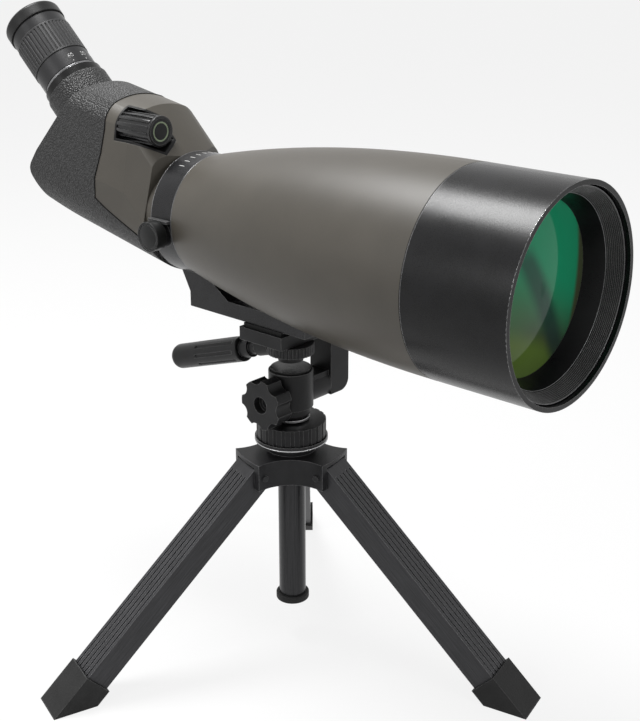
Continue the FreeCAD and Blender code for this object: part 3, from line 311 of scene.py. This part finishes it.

# ------------------------------------------------------------------ pan and tilt head
# Glass-filled nylon mouldings with a fine spark-eroded grain and thin mould edges. A black
# ring of painted shade marks the parting groove where the tilting barrel meets the fixed one.
head_nylon = moulded(
    "head_nylon", colour=(0.0125, 0.0125, 0.013), edge_glint=(0.16, 0.16, 0.16), roughness=0.42,
    grain=0.0007, depth=0.00012, edge=0.0007)
head_nylon.on("head_body", "tilt_bracket", "tilt_lock_knob", "camera_thumbwheel")
moulded(
    "head_cap_gloss", colour=(0.008, 0.008, 0.008), edge_glint=(0.12, 0.12, 0.12), roughness=0.28,
    grain=0.0005, depth=0.00003, edge=0.0006).on("head_cap")
moulded(
    "bolt_oxide", colour=(0.02, 0.02, 0.021), edge_glint=(0.2, 0.2, 0.2), roughness=0.35, grain=0.0004,
    depth=0.00003, metallic=0.8).on("tilt_bolt", "camera_screw")
moulded(
    "pad_rubber", colour=(0.01, 0.01, 0.01), edge_glint=(0.04, 0.04, 0.04), roughness=0.7, grain=0.0008,
    depth=0.0001).on("platform_pad")
# Near black for thin rings and wires laid in grooves and gaps: painted shade.
gap_black = moulded(
    "gap_black", colour=(0.003, 0.003, 0.003), edge_glint=(0.004, 0.004, 0.004), roughness=0.7,
    grain=0.0005, depth=0.00001, specular=0.1)
joints = {joint["name"]: joint for joint in frame["joints"]}
TILT_AXIS_Z = joints["head_tilt"]["pos_m"][2]
TILT_BARREL_R = 0.0095
PARTING_Y = 0.0102
groove = turned_ring((0, PARTING_Y, TILT_AXIS_Z), (0, 1, 0), TILT_BARREL_R, 0.00028, 0.00012)
fit(groove, "tilt_parting_groove", "pan_head", gap_black)
CUP_RIM_R = 0.0139
CUP_BEAD = 0.0003
cap_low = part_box("head_cap")[0]
# A lighter ring round the cup's lower rim: a painted highlight.
cup_rim = turned_ring((0, 0, cap_low.z + 0.0001), UPRIGHT, CUP_RIM_R, CUP_BEAD, CUP_BEAD)
fit(cup_rim, "cup_rim", "pan_head", moulded(
    "rim_worn", colour=(0.06, 0.06, 0.06), edge_glint=(0.2, 0.2, 0.2), roughness=0.3, grain=0.0004,
    depth=0.00002))

# ------------------------------------------------------------------ pan handle
# Moulded grip with long shallow grooves, on a steel stud that screws into the platform.
# A stepped ferrule closes the gap at the platform end.
moulded(
    "handle_nylon", colour=(0.012, 0.012, 0.0125), edge_glint=(0.15, 0.15, 0.15), roughness=0.34,
    grain=0.0006, depth=0.00005, edge=0.0008).on("handle_grip", "handle_ferrule")

# ------------------------------------------------------------------ mounting collar
# Machined alloy ring with a foot below it, satin black, with both edges turned bright.
# Plain white marks show the tube's angle. A turned knob at the side pinches the ring.
moulded(
    "collar_satin", colour=(0.009, 0.009, 0.01), edge_glint=(0.2, 0.2, 0.2), roughness=0.28,
    grain=0.0004, depth=0.00003, edge=0.0005, specular=0.28).on("mounting_collar")
LOCK_KNOB_R = 0.0094
LOCK_KNOB_RIM = 0.0013
LOCK_KNOB_ROUNDING = 0.0004
FACE_DROP, FACE_RIM, FACE_RISE = 0.0005, 0.0006, 0.0004
SMOOTH_ANGLE = math.radians(35)
lock_low, lock_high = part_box("collar_lock_knob")
bpy.ops.object.select_all(action="DESELECT")
bpy.ops.mesh.primitive_cylinder_add(
    vertices=72, radius=LOCK_KNOB_R, depth=lock_high.y - lock_low.y,
    location=(lock_low + lock_high) / 2, rotation=(math.pi / 2, 0, 0))
lock_knob = bpy.context.object
bpy.ops.object.transform_apply(location=True, rotation=True, scale=True)
bpy.ops.object.mode_set(mode="EDIT")
bpy.ops.mesh.select_mode(type="FACE")
bpy.ops.mesh.select_all(action="DESELECT")
bpy.ops.object.mode_set(mode="OBJECT")
for face in lock_knob.data.polygons:
    face.select = face.normal.y < -0.9
bpy.ops.object.mode_set(mode="EDIT")
bpy.ops.mesh.inset(thickness=LOCK_KNOB_RIM)
bpy.ops.mesh.extrude_region_move(TRANSFORM_OT_translate={"value": (0, FACE_DROP, 0)})
bpy.ops.mesh.inset(thickness=FACE_RIM)
bpy.ops.mesh.extrude_region_move(TRANSFORM_OT_translate={"value": (0, -FACE_RISE, 0)})
bpy.ops.mesh.select_all(action="SELECT")
bpy.ops.mesh.normals_make_consistent(inside=False)
bpy.ops.object.mode_set(mode="OBJECT")
rounding = lock_knob.modifiers.new("rounding", "BEVEL")
rounding.width = LOCK_KNOB_ROUNDING
rounding.segments = 2
rounding.angle_limit = SMOOTH_ANGLE
bpy.ops.object.modifier_apply(modifier="rounding")
bpy.ops.object.shade_smooth_by_angle(angle=SMOOTH_ANGLE)
lock_finish = moulded(
    "lock_knob_black", colour=(0.014, 0.0145, 0.0145), edge_glint=(0.2, 0.2, 0.2), roughness=0.34,
    grain=0.0005, depth=0.00003, edge=0.0005)
fit(lock_knob, "collar_lock_knob_turned", "collar_lock", lock_finish)
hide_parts("collar_lock_knob")
bright_edge = moulded(
    "turned_edge", colour=(0.17, 0.17, 0.175), edge_glint=(0.4, 0.4, 0.4), roughness=0.28, grain=0.0003,
    depth=0.00001, metallic=0.6)
AXIS_Z = joints["tube_roll"]["pos_m"][2]
ALONG_TUBE = (1, 0, 0)
COLLAR_WIDTH = 0.0189
COLLAR_BEAD = 0.00022
collar_low, collar_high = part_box("mounting_collar")
COLLAR_REAR_X, COLLAR_FRONT_X = collar_low.x, collar_low.x + COLLAR_WIDTH
COLLAR_R = collar_high.z - AXIS_Z
COLLAR_EDGE_R = COLLAR_R - 0.00012
collar_edges = [turned_ring((x, 0, AXIS_Z), ALONG_TUBE, COLLAR_EDGE_R, COLLAR_BEAD, COLLAR_BEAD)
                for x in (COLLAR_REAR_X + 0.0003, COLLAR_FRONT_X - 0.0003)]
fit(joined(collar_edges), "collar_turned_edges", "tilt_stage", bright_edge)


def block(low, high, bevel):
    "Rectangular bar between two corners, with its edges bevelled."
    low, high = Vector(low), Vector(high)
    bpy.ops.object.select_all(action="DESELECT")
    bpy.ops.mesh.primitive_cube_add(size=1, location=(low + high) / 2, scale=high - low)
    bar = bpy.context.object
    bpy.ops.object.transform_apply(location=True, rotation=True, scale=True)
    bpy.ops.object.mode_set(mode="EDIT")
    bpy.ops.mesh.select_all(action="SELECT")
    bpy.ops.mesh.bevel(offset=bevel, segments=2, affect="EDGES")
    bpy.ops.object.mode_set(mode="OBJECT")
    return bar


def copied(piece, matrix):
    "A copy of a piece with its own mesh, moved by a matrix."
    twin = piece.copy()
    twin.data = piece.data.copy()
    twin.data.transform(matrix)
    bpy.context.collection.objects.link(twin)
    return twin


mark_x = (COLLAR_REAR_X + COLLAR_FRONT_X) / 2
MARK_HALF_LENGTH, MARK_HALF_WIDTH, MARK_HALF_DEPTH = 0.0022, 0.00025, 0.0001
MARK_SPACING = 7.5
collar_top = AXIS_Z + COLLAR_R
mark = block((mark_x - MARK_HALF_LENGTH, -MARK_HALF_WIDTH, collar_top - MARK_HALF_DEPTH),
             (mark_x + MARK_HALF_LENGTH, MARK_HALF_WIDTH, collar_top + MARK_HALF_DEPTH), 0.00005)
about = Matrix.Translation((0, 0, AXIS_Z))
marks = [mark]
for step in range(-4, 5):
    if step:
        turn = about @ Matrix.Rotation(math.radians(MARK_SPACING * step), 4, "X") @ about.inverted()
        marks.append(copied(mark, turn))
white_mark = moulded(
    "white_mark", colour=(0.55, 0.55, 0.53), edge_glint=(0.6, 0.6, 0.6), roughness=0.5, grain=0.0004,
    depth=0.00001)
fit(joined(marks), "collar_angle_marks", "tilt_stage", white_mark)
CLAMP_CAP_INSET = 0.0008
clamp_cap = block((COLLAR_REAR_X + CLAMP_CAP_INSET, -0.0419, AXIS_Z + 0.0012),
                  (COLLAR_FRONT_X - CLAMP_CAP_INSET, -0.0384, AXIS_Z + 0.0032), 0.0004)
fit(clamp_cap, "collar_clamp_cap", "tilt_stage", moulded(
    "clamp_cap_grey", colour=(0.06, 0.06, 0.061), edge_glint=(0.25, 0.25, 0.25), roughness=0.35,
    grain=0.0004, depth=0.00003))


# ------------------------------------------------------------------ main tube
# Tapered alloy tube sprayed with a soft-touch coating, brown grey with a faint speckle.
# The coating is satin, so it takes one long highlight along its top.
def soft_touch(name):
    made = Finish(name, specular=0.35)
    soft, near_edge = made.edges(0.0006)
    cloud = made.noise(0.05)
    speck = made.noise(0.0006, detail=2.0, rough=0.7)
    body = made.mix(cloud.ramp(0.3, 0.7), (0.055, 0.0495, 0.0405), (0.065, 0.0585, 0.048))
    flecked = made.mix(speck.ramp(0.55, 0.8) * 0.3, body, (0.11, 0.1, 0.085))
    # Near the edges the colour goes towards a pale brown: a painted highlight.
    made.set("Base Color", made.mix(near_edge * 0.3, flecked, (0.2, 0.19, 0.17)))
    made.set("Roughness", cloud * 0.08 + speck * 0.12 + 0.34)
    made.bump(speck, 0.00003, soft)
    return made


soft_touch("tube_coat").on("barrel_shell")

# ------------------------------------------------------------------ lens hood
# Anodised alloy sleeve that slides on the tube's nose. Its end is turned to a bright
# double rim, and a thin black ring of painted shade, with a bright edge, marks where it meets the
# tube.
hood_black = moulded(
    "hood_anodised", colour=(0.006, 0.006, 0.0065), edge_glint=(0.3, 0.3, 0.3), roughness=0.28,
    grain=0.0005, depth=0.00001, edge=0.0004, specular=0.2)
hood_black.on("lens_hood")
hood_low, hood_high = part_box("lens_hood")
HOOD_R = (hood_high.z - hood_low.z) / 2
HOOD_WALL = 0.0028
HOOD_BORE_R = HOOD_R - HOOD_WALL
RIM_BEAD = 0.0003
HOOD_STEPS = 192
rims = [turned_ring((hood_high.x - RIM_BEAD, 0, AXIS_Z), ALONG_TUBE, radius, RIM_BEAD, RIM_BEAD,
                    HOOD_STEPS)
        for radius in (HOOD_R - RIM_BEAD, HOOD_BORE_R + RIM_BEAD)]
fit(joined(rims), "hood_bright_rims", "hood", polished)
rear_edge = turned_ring((hood_low.x + RIM_BEAD, 0, AXIS_Z), ALONG_TUBE, HOOD_R - 0.00018,
                        0.00018, 0.0002, HOOD_STEPS)
fit(rear_edge, "hood_rear_edge", "hood", bright_edge)
GAP_HALF_WIDTH = 0.00035
dark_gap = turned_ring((hood_low.x - 0.00025, 0, AXIS_Z), ALONG_TUBE, HOOD_R - 0.0003,
                       GAP_HALF_WIDTH, GAP_HALF_WIDTH, HOOD_STEPS)
fit(dark_gap, "hood_gap", "scope_tube", gap_black)

# ------------------------------------------------------------------ objective
# Cemented pair of lenses in a threaded cell, with a black retaining ring and a ridged
# cone in front. The green sheen off the anti-reflection coating is a painted reflection.
ring_black = moulded(
    "ring_black", colour=(0.005, 0.005, 0.0055), edge_glint=(0.2, 0.2, 0.2), roughness=0.3,
    grain=0.0004, depth=0.00002, edge=0.0004)
ring_black.on("objective_cell", "lens_retaining_ring", "front_cone_ring")
inner_black = moulded(
    "inner_black", colour=(0.008, 0.008, 0.008), edge_glint=(0.03, 0.03, 0.03), roughness=0.7,
    grain=0.0005, depth=0.00005)
inner_black.on("lens_spacer_ring", "light_baffle", "prism_holder", "focus_carriage",
               "eye_lens_cell", "zoom_field_cell", "zoom_erector_cell", "field_stop")
cone_low, cone_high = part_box("front_cone_ring")
CONE_STEP_R, CONE_MOUTH_R = 0.0526, 0.0566
STEP_EDGE_R, MOUTH_EDGE_R = 0.05195, 0.0568
CONE_BEAD = 0.0002
CONE_STEPS = 160
RIDGES = 10
RIDGE_HALF_WIDTH, RIDGE_HEIGHT = 0.00025, 0.0005
ridges = []
for i in range(RIDGES):
    share = (i + 0.7) / RIDGES
    x = cone_low.x + (cone_high.x - cone_low.x) * share
    r = CONE_STEP_R + (CONE_MOUTH_R - CONE_STEP_R) * share
    ridges.append(turned_ring((x, 0, AXIS_Z), ALONG_TUBE, r, RIDGE_HALF_WIDTH, RIDGE_HEIGHT,
                              CONE_STEPS))
fit(joined(ridges), "cone_ridges", "scope_tube", moulded(
    "ridge_black", colour=(0.05, 0.05, 0.05), edge_glint=(0.3, 0.3, 0.3), roughness=0.26, grain=0.0003,
    depth=0.00001))
cone_edges = [turned_ring((x - 0.0001, 0, AXIS_Z), ALONG_TUBE, radius, CONE_BEAD, CONE_BEAD,
                          CONE_STEPS)
              for x, radius in ((cone_low.x, STEP_EDGE_R), (cone_high.x, MOUTH_EDGE_R))]
fit(joined(cone_edges), "cone_bright_edges", "scope_tube", bright_edge)

# The coating's reflections are painted into the lens's colour: emerald at the upper right,
# leaf green at the left and olive below, with a dark slanting streak that is also a painted
# reflection. Limits are in metres from the lens's centre.
coated = Finish("lens_coating", roughness=0.06, specular=0.1)
height = coated.along((0, 0, 1), (0, 0, AXIS_Z))
side = coated.along((0, 1, 0))
wave = coated.noise(0.05, detail=1.0) * 0.012 - 0.006
painted_sheen = (side + wave).ramp(0.042, 0.036) * (height + wave + side * 0.5).ramp(-0.03, 0.015)
painted_low_sheen = (height + side * 0.4 + wave).ramp(-0.022, -0.036)
painted_left_sheen = (side - height * 0.2).ramp(0.02, -0.03)
body = coated.mix(painted_left_sheen, (0.045, 0.055, 0.028), (0.05, 0.12, 0.05))
body = coated.mix(painted_sheen, body, (0.012, 0.23, 0.11))
body = coated.mix(painted_low_sheen, body, (0.085, 0.14, 0.028))
slant = side * 0.83 + height * 0.55
streak = slant.ramp(-0.012, -0.003) * slant.ramp(0.01, 0.001) * height.ramp(0.032, 0.016)
coated.set("Base Color", coated.mix(streak * 0.75, body, (0.014, 0.03, 0.03)))
coated.on("crown_lens")
clear = Finish("clear_glass", roughness=0.03, specular=0.6)
clear.set("Base Color", clear.mix(clear.noise(0.02), (0.5, 0.55, 0.5), (0.6, 0.65, 0.62)))
clear.set("Transmission Weight", 1.0)
clear.on("flint_lens", "focusing_lens", "erecting_prism", "zoom_field_lens", "zoom_erector_lens")
eye_glass = Finish("eye_glass", roughness=0.03, specular=0.6, coat=0.5, coat_roughness=0.02)
violet_green = eye_glass.mix(eye_glass.noise(0.01), (0.02, 0.014, 0.035), (0.012, 0.03, 0.026))
eye_glass.set("Base Color", violet_green)
eye_glass.on("eye_lens")

# ------------------------------------------------------------------ prism housing
# Two shells: the front one has the tube's coating, the rear one is clad in black rubber
# with a pebbled grain. A black wire of painted shade runs round the body where they meet.
soft_touch("housing_coat").on("housing_front_shell")
pebble = Finish("pebbled_rubber", specular=0.4)
soft = pebble.edges(0.0018)[0]
grain = pebble.cells(0.00125)
cloud = pebble.noise(0.02)
# Pebble tops are painted lighter and the hollows between them near black: painted shade.
body = pebble.mix(grain.ramp(0.15, 0.5), (0.03, 0.03, 0.031), (0.003, 0.003, 0.003))
pebble.set("Base Color", pebble.mix(cloud * 0.3, body, (0.02, 0.02, 0.02)))
pebble.set("Roughness", grain * 0.3 + 0.3)
pebble.bump(1 - grain, 0.0007, soft, 1.0)
pebble.on("housing_rear_shell")
HOUSING_MIDDLE = (-0.125, 0, 0.295)
SEAM_RADIUS = 0.00045
ON_SURFACE = 0.00005
CLEAR_OF_SURFACE = 0.0008


def seam_wire(shell_name, other_name, thickness):
    "Round wire along the outer edge where one shell meets another."
    shell, other = node[shell_name], node[other_name]
    wire = shell.copy()
    wire.data = shell.data.copy()
    wire.parent = None
    bpy.context.collection.objects.link(wire)
    bpy.ops.object.select_all(action="DESELECT")
    wire.select_set(True)
    bpy.context.view_layer.objects.active = wire
    bpy.ops.object.mode_set(mode="EDIT")
    bpy.ops.mesh.select_all(action="SELECT")
    bpy.ops.mesh.remove_doubles(threshold=0.000005)
    bpy.ops.mesh.select_all(action="DESELECT")
    bpy.ops.mesh.select_mode(type="EDGE")
    bpy.ops.mesh.edges_select_sharp(sharpness=math.radians(30))
    bpy.ops.object.mode_set(mode="OBJECT")
    heart = Vector(HOUSING_MIDDLE)
    for rim in wire.data.edges:
        ends = [wire.data.vertices[v].co for v in rim.vertices]
        middle = (ends[0] + ends[1]) / 2
        close = all((other.closest_point_on_mesh(p)[1] - p).length < ON_SURFACE
                    for p in ends + [middle])
        out = (middle - heart).normalized()
        start = middle + out * CLEAR_OF_SURFACE
        free = not any(part.ray_cast(start, out)[0] for part in (shell, other))
        rim.select = rim.select and close and free
    bpy.ops.object.mode_set(mode="EDIT")
    bpy.ops.mesh.select_all(action="INVERT")
    bpy.ops.mesh.delete(type="EDGE")
    bpy.ops.object.mode_set(mode="OBJECT")
    bpy.ops.object.convert(target="CURVE")
    wire = bpy.context.object
    wire.data.bevel_depth = thickness
    wire.data.bevel_resolution = 2
    wire.data.use_fill_caps = True
    bpy.ops.object.convert(target="MESH")
    return bpy.context.object


seam = seam_wire("housing_front_shell", "housing_rear_shell", SEAM_RADIUS)
fit(seam, "housing_seam", "scope_tube", gap_black)

# ------------------------------------------------------------------ focusing knob
# Glossy moulded knob with fourteen bold ribs and a plain bezel, in a six-sided recess.
# A bare metal disc with one painted ring closes its face.
knob_low, knob_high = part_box("focus_knob")
KNOB_RIBS = 14
KNOB_RIB_H = 0.0012
KNOB_BEZEL = 0.0016
KNOB_NECK = 0.0008
KNOB_ROUNDING = 0.0003
SIDES_PER_RIB = 4
KNOB_FACE_RIM, KNOB_FACE_DROP = 0.0005, 0.0006
knob_middle = (knob_low + knob_high) / 2
knob_length = knob_high.x - knob_low.x
knob_r = (knob_high.z - knob_low.z) / 2
bpy.ops.object.select_all(action="DESELECT")
bpy.ops.mesh.primitive_cylinder_add(
    vertices=KNOB_RIBS * SIDES_PER_RIB, radius=knob_r - KNOB_RIB_H, depth=knob_length,
    location=knob_middle, rotation=(0, math.pi / 2, 0))
knob = bpy.context.object
bpy.ops.object.transform_apply(location=True, rotation=True, scale=True)
bpy.ops.object.mode_set(mode="EDIT")
bezel_x = knob_high.x - KNOB_BEZEL
ribs_x = bezel_x - KNOB_NECK
for cut_x in (bezel_x, ribs_x):
    bpy.ops.mesh.select_all(action="SELECT")
    bpy.ops.mesh.bisect(plane_co=(cut_x, 0, 0), plane_no=(1, 0, 0))
bpy.ops.mesh.select_mode(type="FACE")
bpy.ops.mesh.select_all(action="DESELECT")
bpy.ops.object.mode_set(mode="OBJECT")
side_angle = 360 / (KNOB_RIBS * SIDES_PER_RIB)
for face in knob.data.polygons:
    spot = face.center - knob_middle
    sector = int(math.degrees(math.atan2(spot.z, spot.y)) % 360 / side_angle)
    on_rib = sector % SIDES_PER_RIB in (0, 1) and face.center.x < ribs_x
    on_bezel = face.center.x > bezel_x
    face.select = abs(face.normal.x) < 0.5 and (on_rib or on_bezel)
bpy.ops.object.mode_set(mode="EDIT")
rib_rise = KNOB_RIB_H - 0.0001
bpy.ops.mesh.extrude_region_shrink_fatten(TRANSFORM_OT_shrink_fatten={"value": rib_rise})
bpy.ops.mesh.select_all(action="DESELECT")
bpy.ops.object.mode_set(mode="OBJECT")
for face in knob.data.polygons:
    at_end = face.normal.x > 0.9 and face.center.x > knob_high.x - 0.00001
    face.select = at_end and face.area > 0.0001
bpy.ops.object.mode_set(mode="EDIT")
bpy.ops.mesh.inset(thickness=KNOB_FACE_RIM)
bpy.ops.mesh.extrude_region_move(TRANSFORM_OT_translate={"value": (-KNOB_FACE_DROP, 0, 0)})
bpy.ops.mesh.select_all(action="SELECT")
bpy.ops.mesh.normals_make_consistent(inside=False)
bpy.ops.object.mode_set(mode="OBJECT")
rounding = knob.modifiers.new("rounding", "BEVEL")
rounding.width = KNOB_ROUNDING
rounding.segments = 2
rounding.angle_limit = SMOOTH_ANGLE
bpy.ops.object.modifier_apply(modifier="rounding")
bpy.ops.object.shade_smooth_by_angle(angle=SMOOTH_ANGLE)
knob_gloss = moulded(
    "knob_gloss", colour=(0.004, 0.004, 0.0045), edge_glint=(0.2, 0.2, 0.2), roughness=0.22,
    grain=0.0004, depth=0.00001, edge=0.0003, specular=0.4)
fit(knob, "focus_knob_ribbed", "focus_drive", knob_gloss)
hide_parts("focus_knob")
moulded(
    "knob_disc", colour=(0.02, 0.02, 0.021), edge_glint=(0.2, 0.2, 0.2), roughness=0.3, grain=0.0004,
    depth=0.00001, edge=0.0004).on("focus_knob_cap")
PAINTED_RING_R = 0.0058
painted = turned_ring((knob_high.x - 0.0001, knob_middle.y, knob_middle.z), ALONG_TUBE,
                      PAINTED_RING_R, 0.00015, 0.0007, 64)
fit(painted, "focus_knob_ring", "focus_drive", moulded(
    "sage_paint", colour=(0.27, 0.33, 0.22), edge_glint=(0.35, 0.4, 0.3), roughness=0.4, grain=0.0004,
    depth=0.00001))
moulded(
    "pocket_black", colour=(0.006, 0.006, 0.006), edge_glint=(0.03, 0.03, 0.03), roughness=0.4,
    grain=0.0005, depth=0.00004).on("focus_pocket")

# ------------------------------------------------------------------ eyepiece
# Black anodised rings on an alloy barrel. The ribbed ring sets the power, and plain
# numbers on its smooth end show it. The eyecup is soft rubber.
EYE_AXIS = Vector(joints["zoom_ring_turn"]["axis"]).normalized()
EYE_FRONT = Vector((EYE_AXIS.z, 0, -EYE_AXIS.x))
EYE_CROSS = Vector(joints["zoom_ring_turn"]["pos_m"])
NUMBER_RING_R = 0.0200
GRIP_START = 0.12102
CUP_GROOVE_AT, INDEX_BAND_AT, FLANGE_EDGE_AT = 0.1539, 0.1066, 0.1051
THIN_LINES_AT = (0.1077, 0.1207)


def station(distance):
    "Point on the eyepiece's axis at a distance from where it crosses the tube's axis."
    return EYE_CROSS + EYE_AXIS * distance


satin_black = moulded(
    "eyepiece_satin", colour=(0.01, 0.01, 0.011), edge_glint=(0.18, 0.18, 0.18), roughness=0.32,
    grain=0.0004, depth=0.00003, edge=0.0004, specular=0.35)
satin_black.on("eyepiece_barrel", "eyepiece_top_band")
moulded(
    "flange_black", colour=(0.006, 0.006, 0.006), edge_glint=(0.12, 0.12, 0.12), roughness=0.3,
    grain=0.0004, depth=0.00003, edge=0.0005).on("eyepiece_stop_ring")
power = Finish("power_ring", specular=0.35)
soft, near_edge = power.edges(0.0003)
reach = power.along(EYE_AXIS, EYE_CROSS)
across = power.along((0, 1, 0))
ahead = power.along(EYE_FRONT, EYE_CROSS)
radius = (across * across + ahead * ahead).root()
grip = reach.ramp(GRIP_START - 0.0002, GRIP_START)
# The grip's grooves are painted near black: painted shade in the recesses.
groove_shade_mask = grip * radius.ramp(0.0203, 0.0200)
fine = power.noise(0.0005, detail=2.0)
body = power.mix(grip, (0.01, 0.01, 0.011), (0.02, 0.02, 0.021))
body = power.mix(groove_shade_mask, body, (0.002, 0.002, 0.002))
# Near the edges the colour goes towards grey: a painted highlight.
power.set("Base Color", power.mix(near_edge * 0.35, body, (0.2, 0.2, 0.2)))
power.set("Roughness", fine * 0.1 + grip * 0.1 + 0.3)
power.bump(fine, 0.00003, soft)
power.on("zoom_ring")
moulded(
    "eyecup_rubber", colour=(0.013, 0.013, 0.013), edge_glint=(0.06, 0.06, 0.06), roughness=0.36,
    grain=0.0006, depth=0.00006, edge=0.001).on("eyecup")
# A black ring of painted shade fills the groove under the eyecup.
cup_groove = turned_ring(station(CUP_GROOVE_AT), EYE_AXIS, 0.0200, 0.0007, 0.0005)
fit(cup_groove, "eyecup_groove", "scope_tube", gap_black)
index_band = turned_ring(station(INDEX_BAND_AT), EYE_AXIS, NUMBER_RING_R, 0.0007, 0.00012)
fit(index_band, "number_ring_band", "zoom_drive", bright_edge)
# Thin black rings of painted shade mark the gaps on the power ring.
thin_lines = [turned_ring(station(place), EYE_AXIS, NUMBER_RING_R, 0.00018, 0.0001)
              for place in THIN_LINES_AT]
fit(joined(thin_lines), "number_ring_lines", "zoom_drive", gap_black)
flange_edge = turned_ring(station(FLANGE_EDGE_AT), EYE_AXIS, 0.0213, 0.00015, 0.00015)
fit(flange_edge, "flange_edge", "scope_tube", bright_edge)

# ------------------------------------------------------------------ power numbers
# Plain numbers and dots, printed white round the smooth end of the power ring. Each
# dot comes up to the fixed flange as the ring turns.
NUMBER_SIZE = 0.0046
FIRST_NUMBER_ANGLE = 18.0
NUMBER_STEP = -30.0
NUMBERS_AT, DOTS_AT, BAR_AT = 0.1137, 0.1096, 0.1105
BAR_ANGLE = 118.0
DOT_R = 0.00045
PRINT_LIFT, PRINT_THICKNESS = 0.00007, 0.00005
PRINT_R = NUMBER_RING_R + 0.0005


def ring_frame(angle, distance, radius):
    "Place on the ring with X round it, Y along the eyepiece and Z outwards."
    turn = math.radians(angle)
    out = EYE_FRONT * math.cos(turn) - Vector((0, 1, 0)) * math.sin(turn)
    columns = Matrix((EYE_AXIS.cross(out), EYE_AXIS, out)).transposed().to_4x4()
    return Matrix.Translation(station(distance) + out * radius) @ columns


def wrapped(piece, place):
    "Lays a flat piece on the ring and gives it the thickness of a print."
    bpy.ops.object.select_all(action="DESELECT")
    piece.select_set(True)
    bpy.context.view_layer.objects.active = piece
    piece.matrix_world = place
    bpy.ops.object.transform_apply(location=True, rotation=True, scale=True)
    wrap = piece.modifiers.new("wrap", "SHRINKWRAP")
    wrap.target = node["zoom_ring"]
    wrap.offset = PRINT_LIFT
    bpy.ops.object.modifier_apply(modifier="wrap")
    thick = piece.modifiers.new("thick", "SOLIDIFY")
    thick.thickness = PRINT_THICKNESS
    bpy.ops.object.modifier_apply(modifier="thick")
    return piece


prints = []
for i, number in enumerate((60, 50, 40, 30, 20)):
    angle = FIRST_NUMBER_ANGLE + NUMBER_STEP * i
    bpy.ops.object.select_all(action="DESELECT")
    bpy.ops.object.text_add()
    text = bpy.context.object
    text.data.body = str(number)
    text.data.size = NUMBER_SIZE
    text.data.offset = 0.00008
    text.data.align_x = "CENTER"
    text.data.align_y = "CENTER"
    bpy.ops.object.convert(target="MESH")
    prints.append(wrapped(bpy.context.object, ring_frame(angle, NUMBERS_AT, PRINT_R)))
    bpy.ops.mesh.primitive_circle_add(vertices=16, radius=DOT_R, fill_type="NGON")
    prints.append(wrapped(bpy.context.object, ring_frame(angle, DOTS_AT, PRINT_R)))
bpy.ops.mesh.primitive_plane_add(size=0.0012)
bar = bpy.context.object
bar.data.transform(Matrix.Diagonal((0.6, 3.0, 1, 1)))
prints.append(wrapped(bar, ring_frame(BAR_ANGLE, BAR_AT, PRINT_R)))
fit(joined(prints), "power_numbers", "zoom_drive", white_mark)

# ------------------------------------------------------------------ stage, lamps and camera
# A matt pale floor runs out to a white horizon. One soft lamp hangs above, one stands in
# front and one to the right, and the camera looks down on the scope from the front.
bpy.ops.object.select_all(action="DESELECT")
bpy.ops.mesh.primitive_plane_add(size=12, location=(0, 0, 0))
floor = bpy.context.object
floor.name = "stage_floor"
paper = Finish("stage_paper", roughness=0.9)
paper.set("Base Color", (0.8, 0.8, 0.8, 1))
tree = paper.tree
seen = paper.node("ShaderNodeLightPath", {}, out="Is Camera Ray")
glossy = paper.node("ShaderNodeLightPath", {}, out="Is Glossy Ray")
clear_ray = paper.node("ShaderNodeLightPath", {}, out="Is Transmission Ray")
shine = paper.node("ShaderNodeEmission", {"Color": (1, 1, 1, 1), "Strength": 1.0})
FLOOR_GLOW = 0.85
glow = (seen + glossy + clear_ray) * FLOOR_GLOW
blend = paper.node("ShaderNodeMixShader", {0: glow, 1: paper.shader.outputs[0], 2: shine})
tree.links.new(blend.socket, tree.nodes["Material Output"].inputs["Surface"])
floor.data.materials.append(paper.material)

world = bpy.data.worlds.new("studio")
bpy.context.scene.world = world
world.use_nodes = True
tree = world.node_tree
path = tree.nodes.new("ShaderNodeLightPath")
either = tree.nodes.new("ShaderNodeMath")
either.operation = "MAXIMUM"
tree.links.new(path.outputs["Is Camera Ray"], either.inputs[0])
tree.links.new(path.outputs["Is Glossy Ray"], either.inputs[1])
any_of = tree.nodes.new("ShaderNodeMath")
any_of.operation = "MAXIMUM"
tree.links.new(either.outputs[0], any_of.inputs[0])
tree.links.new(path.outputs["Is Transmission Ray"], any_of.inputs[1])
level = tree.nodes.new("ShaderNodeMapRange")
SKY_LEVEL = 0.25
level.inputs["To Min"].default_value = SKY_LEVEL
level.inputs["To Max"].default_value = 1.0
tree.links.new(any_of.outputs[0], level.inputs["Value"])
tree.links.new(level.outputs[0], tree.nodes["Background"].inputs["Strength"])
tree.nodes["Background"].inputs["Color"].default_value = (1, 1, 1, 1)


def lamp(name, place, aim, size, power):
    bpy.ops.object.light_add(type="AREA", location=place)
    made = bpy.context.object
    made.name = name
    made.data.shape = "DISK"
    made.data.size = size
    made.data.energy = power
    made.rotation_euler = (Vector(aim) - Vector(place)).to_track_quat("-Z", "Y").to_euler()


middle = (0, 0, 0.22)
lamp("lamp_top", (-0.5, -0.1, 1.5), middle, 0.6, 26)
lamp("lamp_front", (-0.3, -1.7, 0.9), middle, 0.9, 9)
lamp("lamp_right", (1.6, 0.1, 0.7), middle, 0.6, 6)

eye, aim = Vector((0.5068, -0.5372, 0.4727)), Vector((0.00236, 0.0250, 0.1918))
bpy.ops.object.camera_add(location=eye)
camera = bpy.context.object
camera.data.sensor_width = 36
camera.data.lens = 62.4
camera.rotation_euler = (aim - eye).to_track_quat("-Z", "Y").to_euler()
bpy.context.scene.camera = camera
bpy.context.scene.view_settings.view_transform = "Standard"
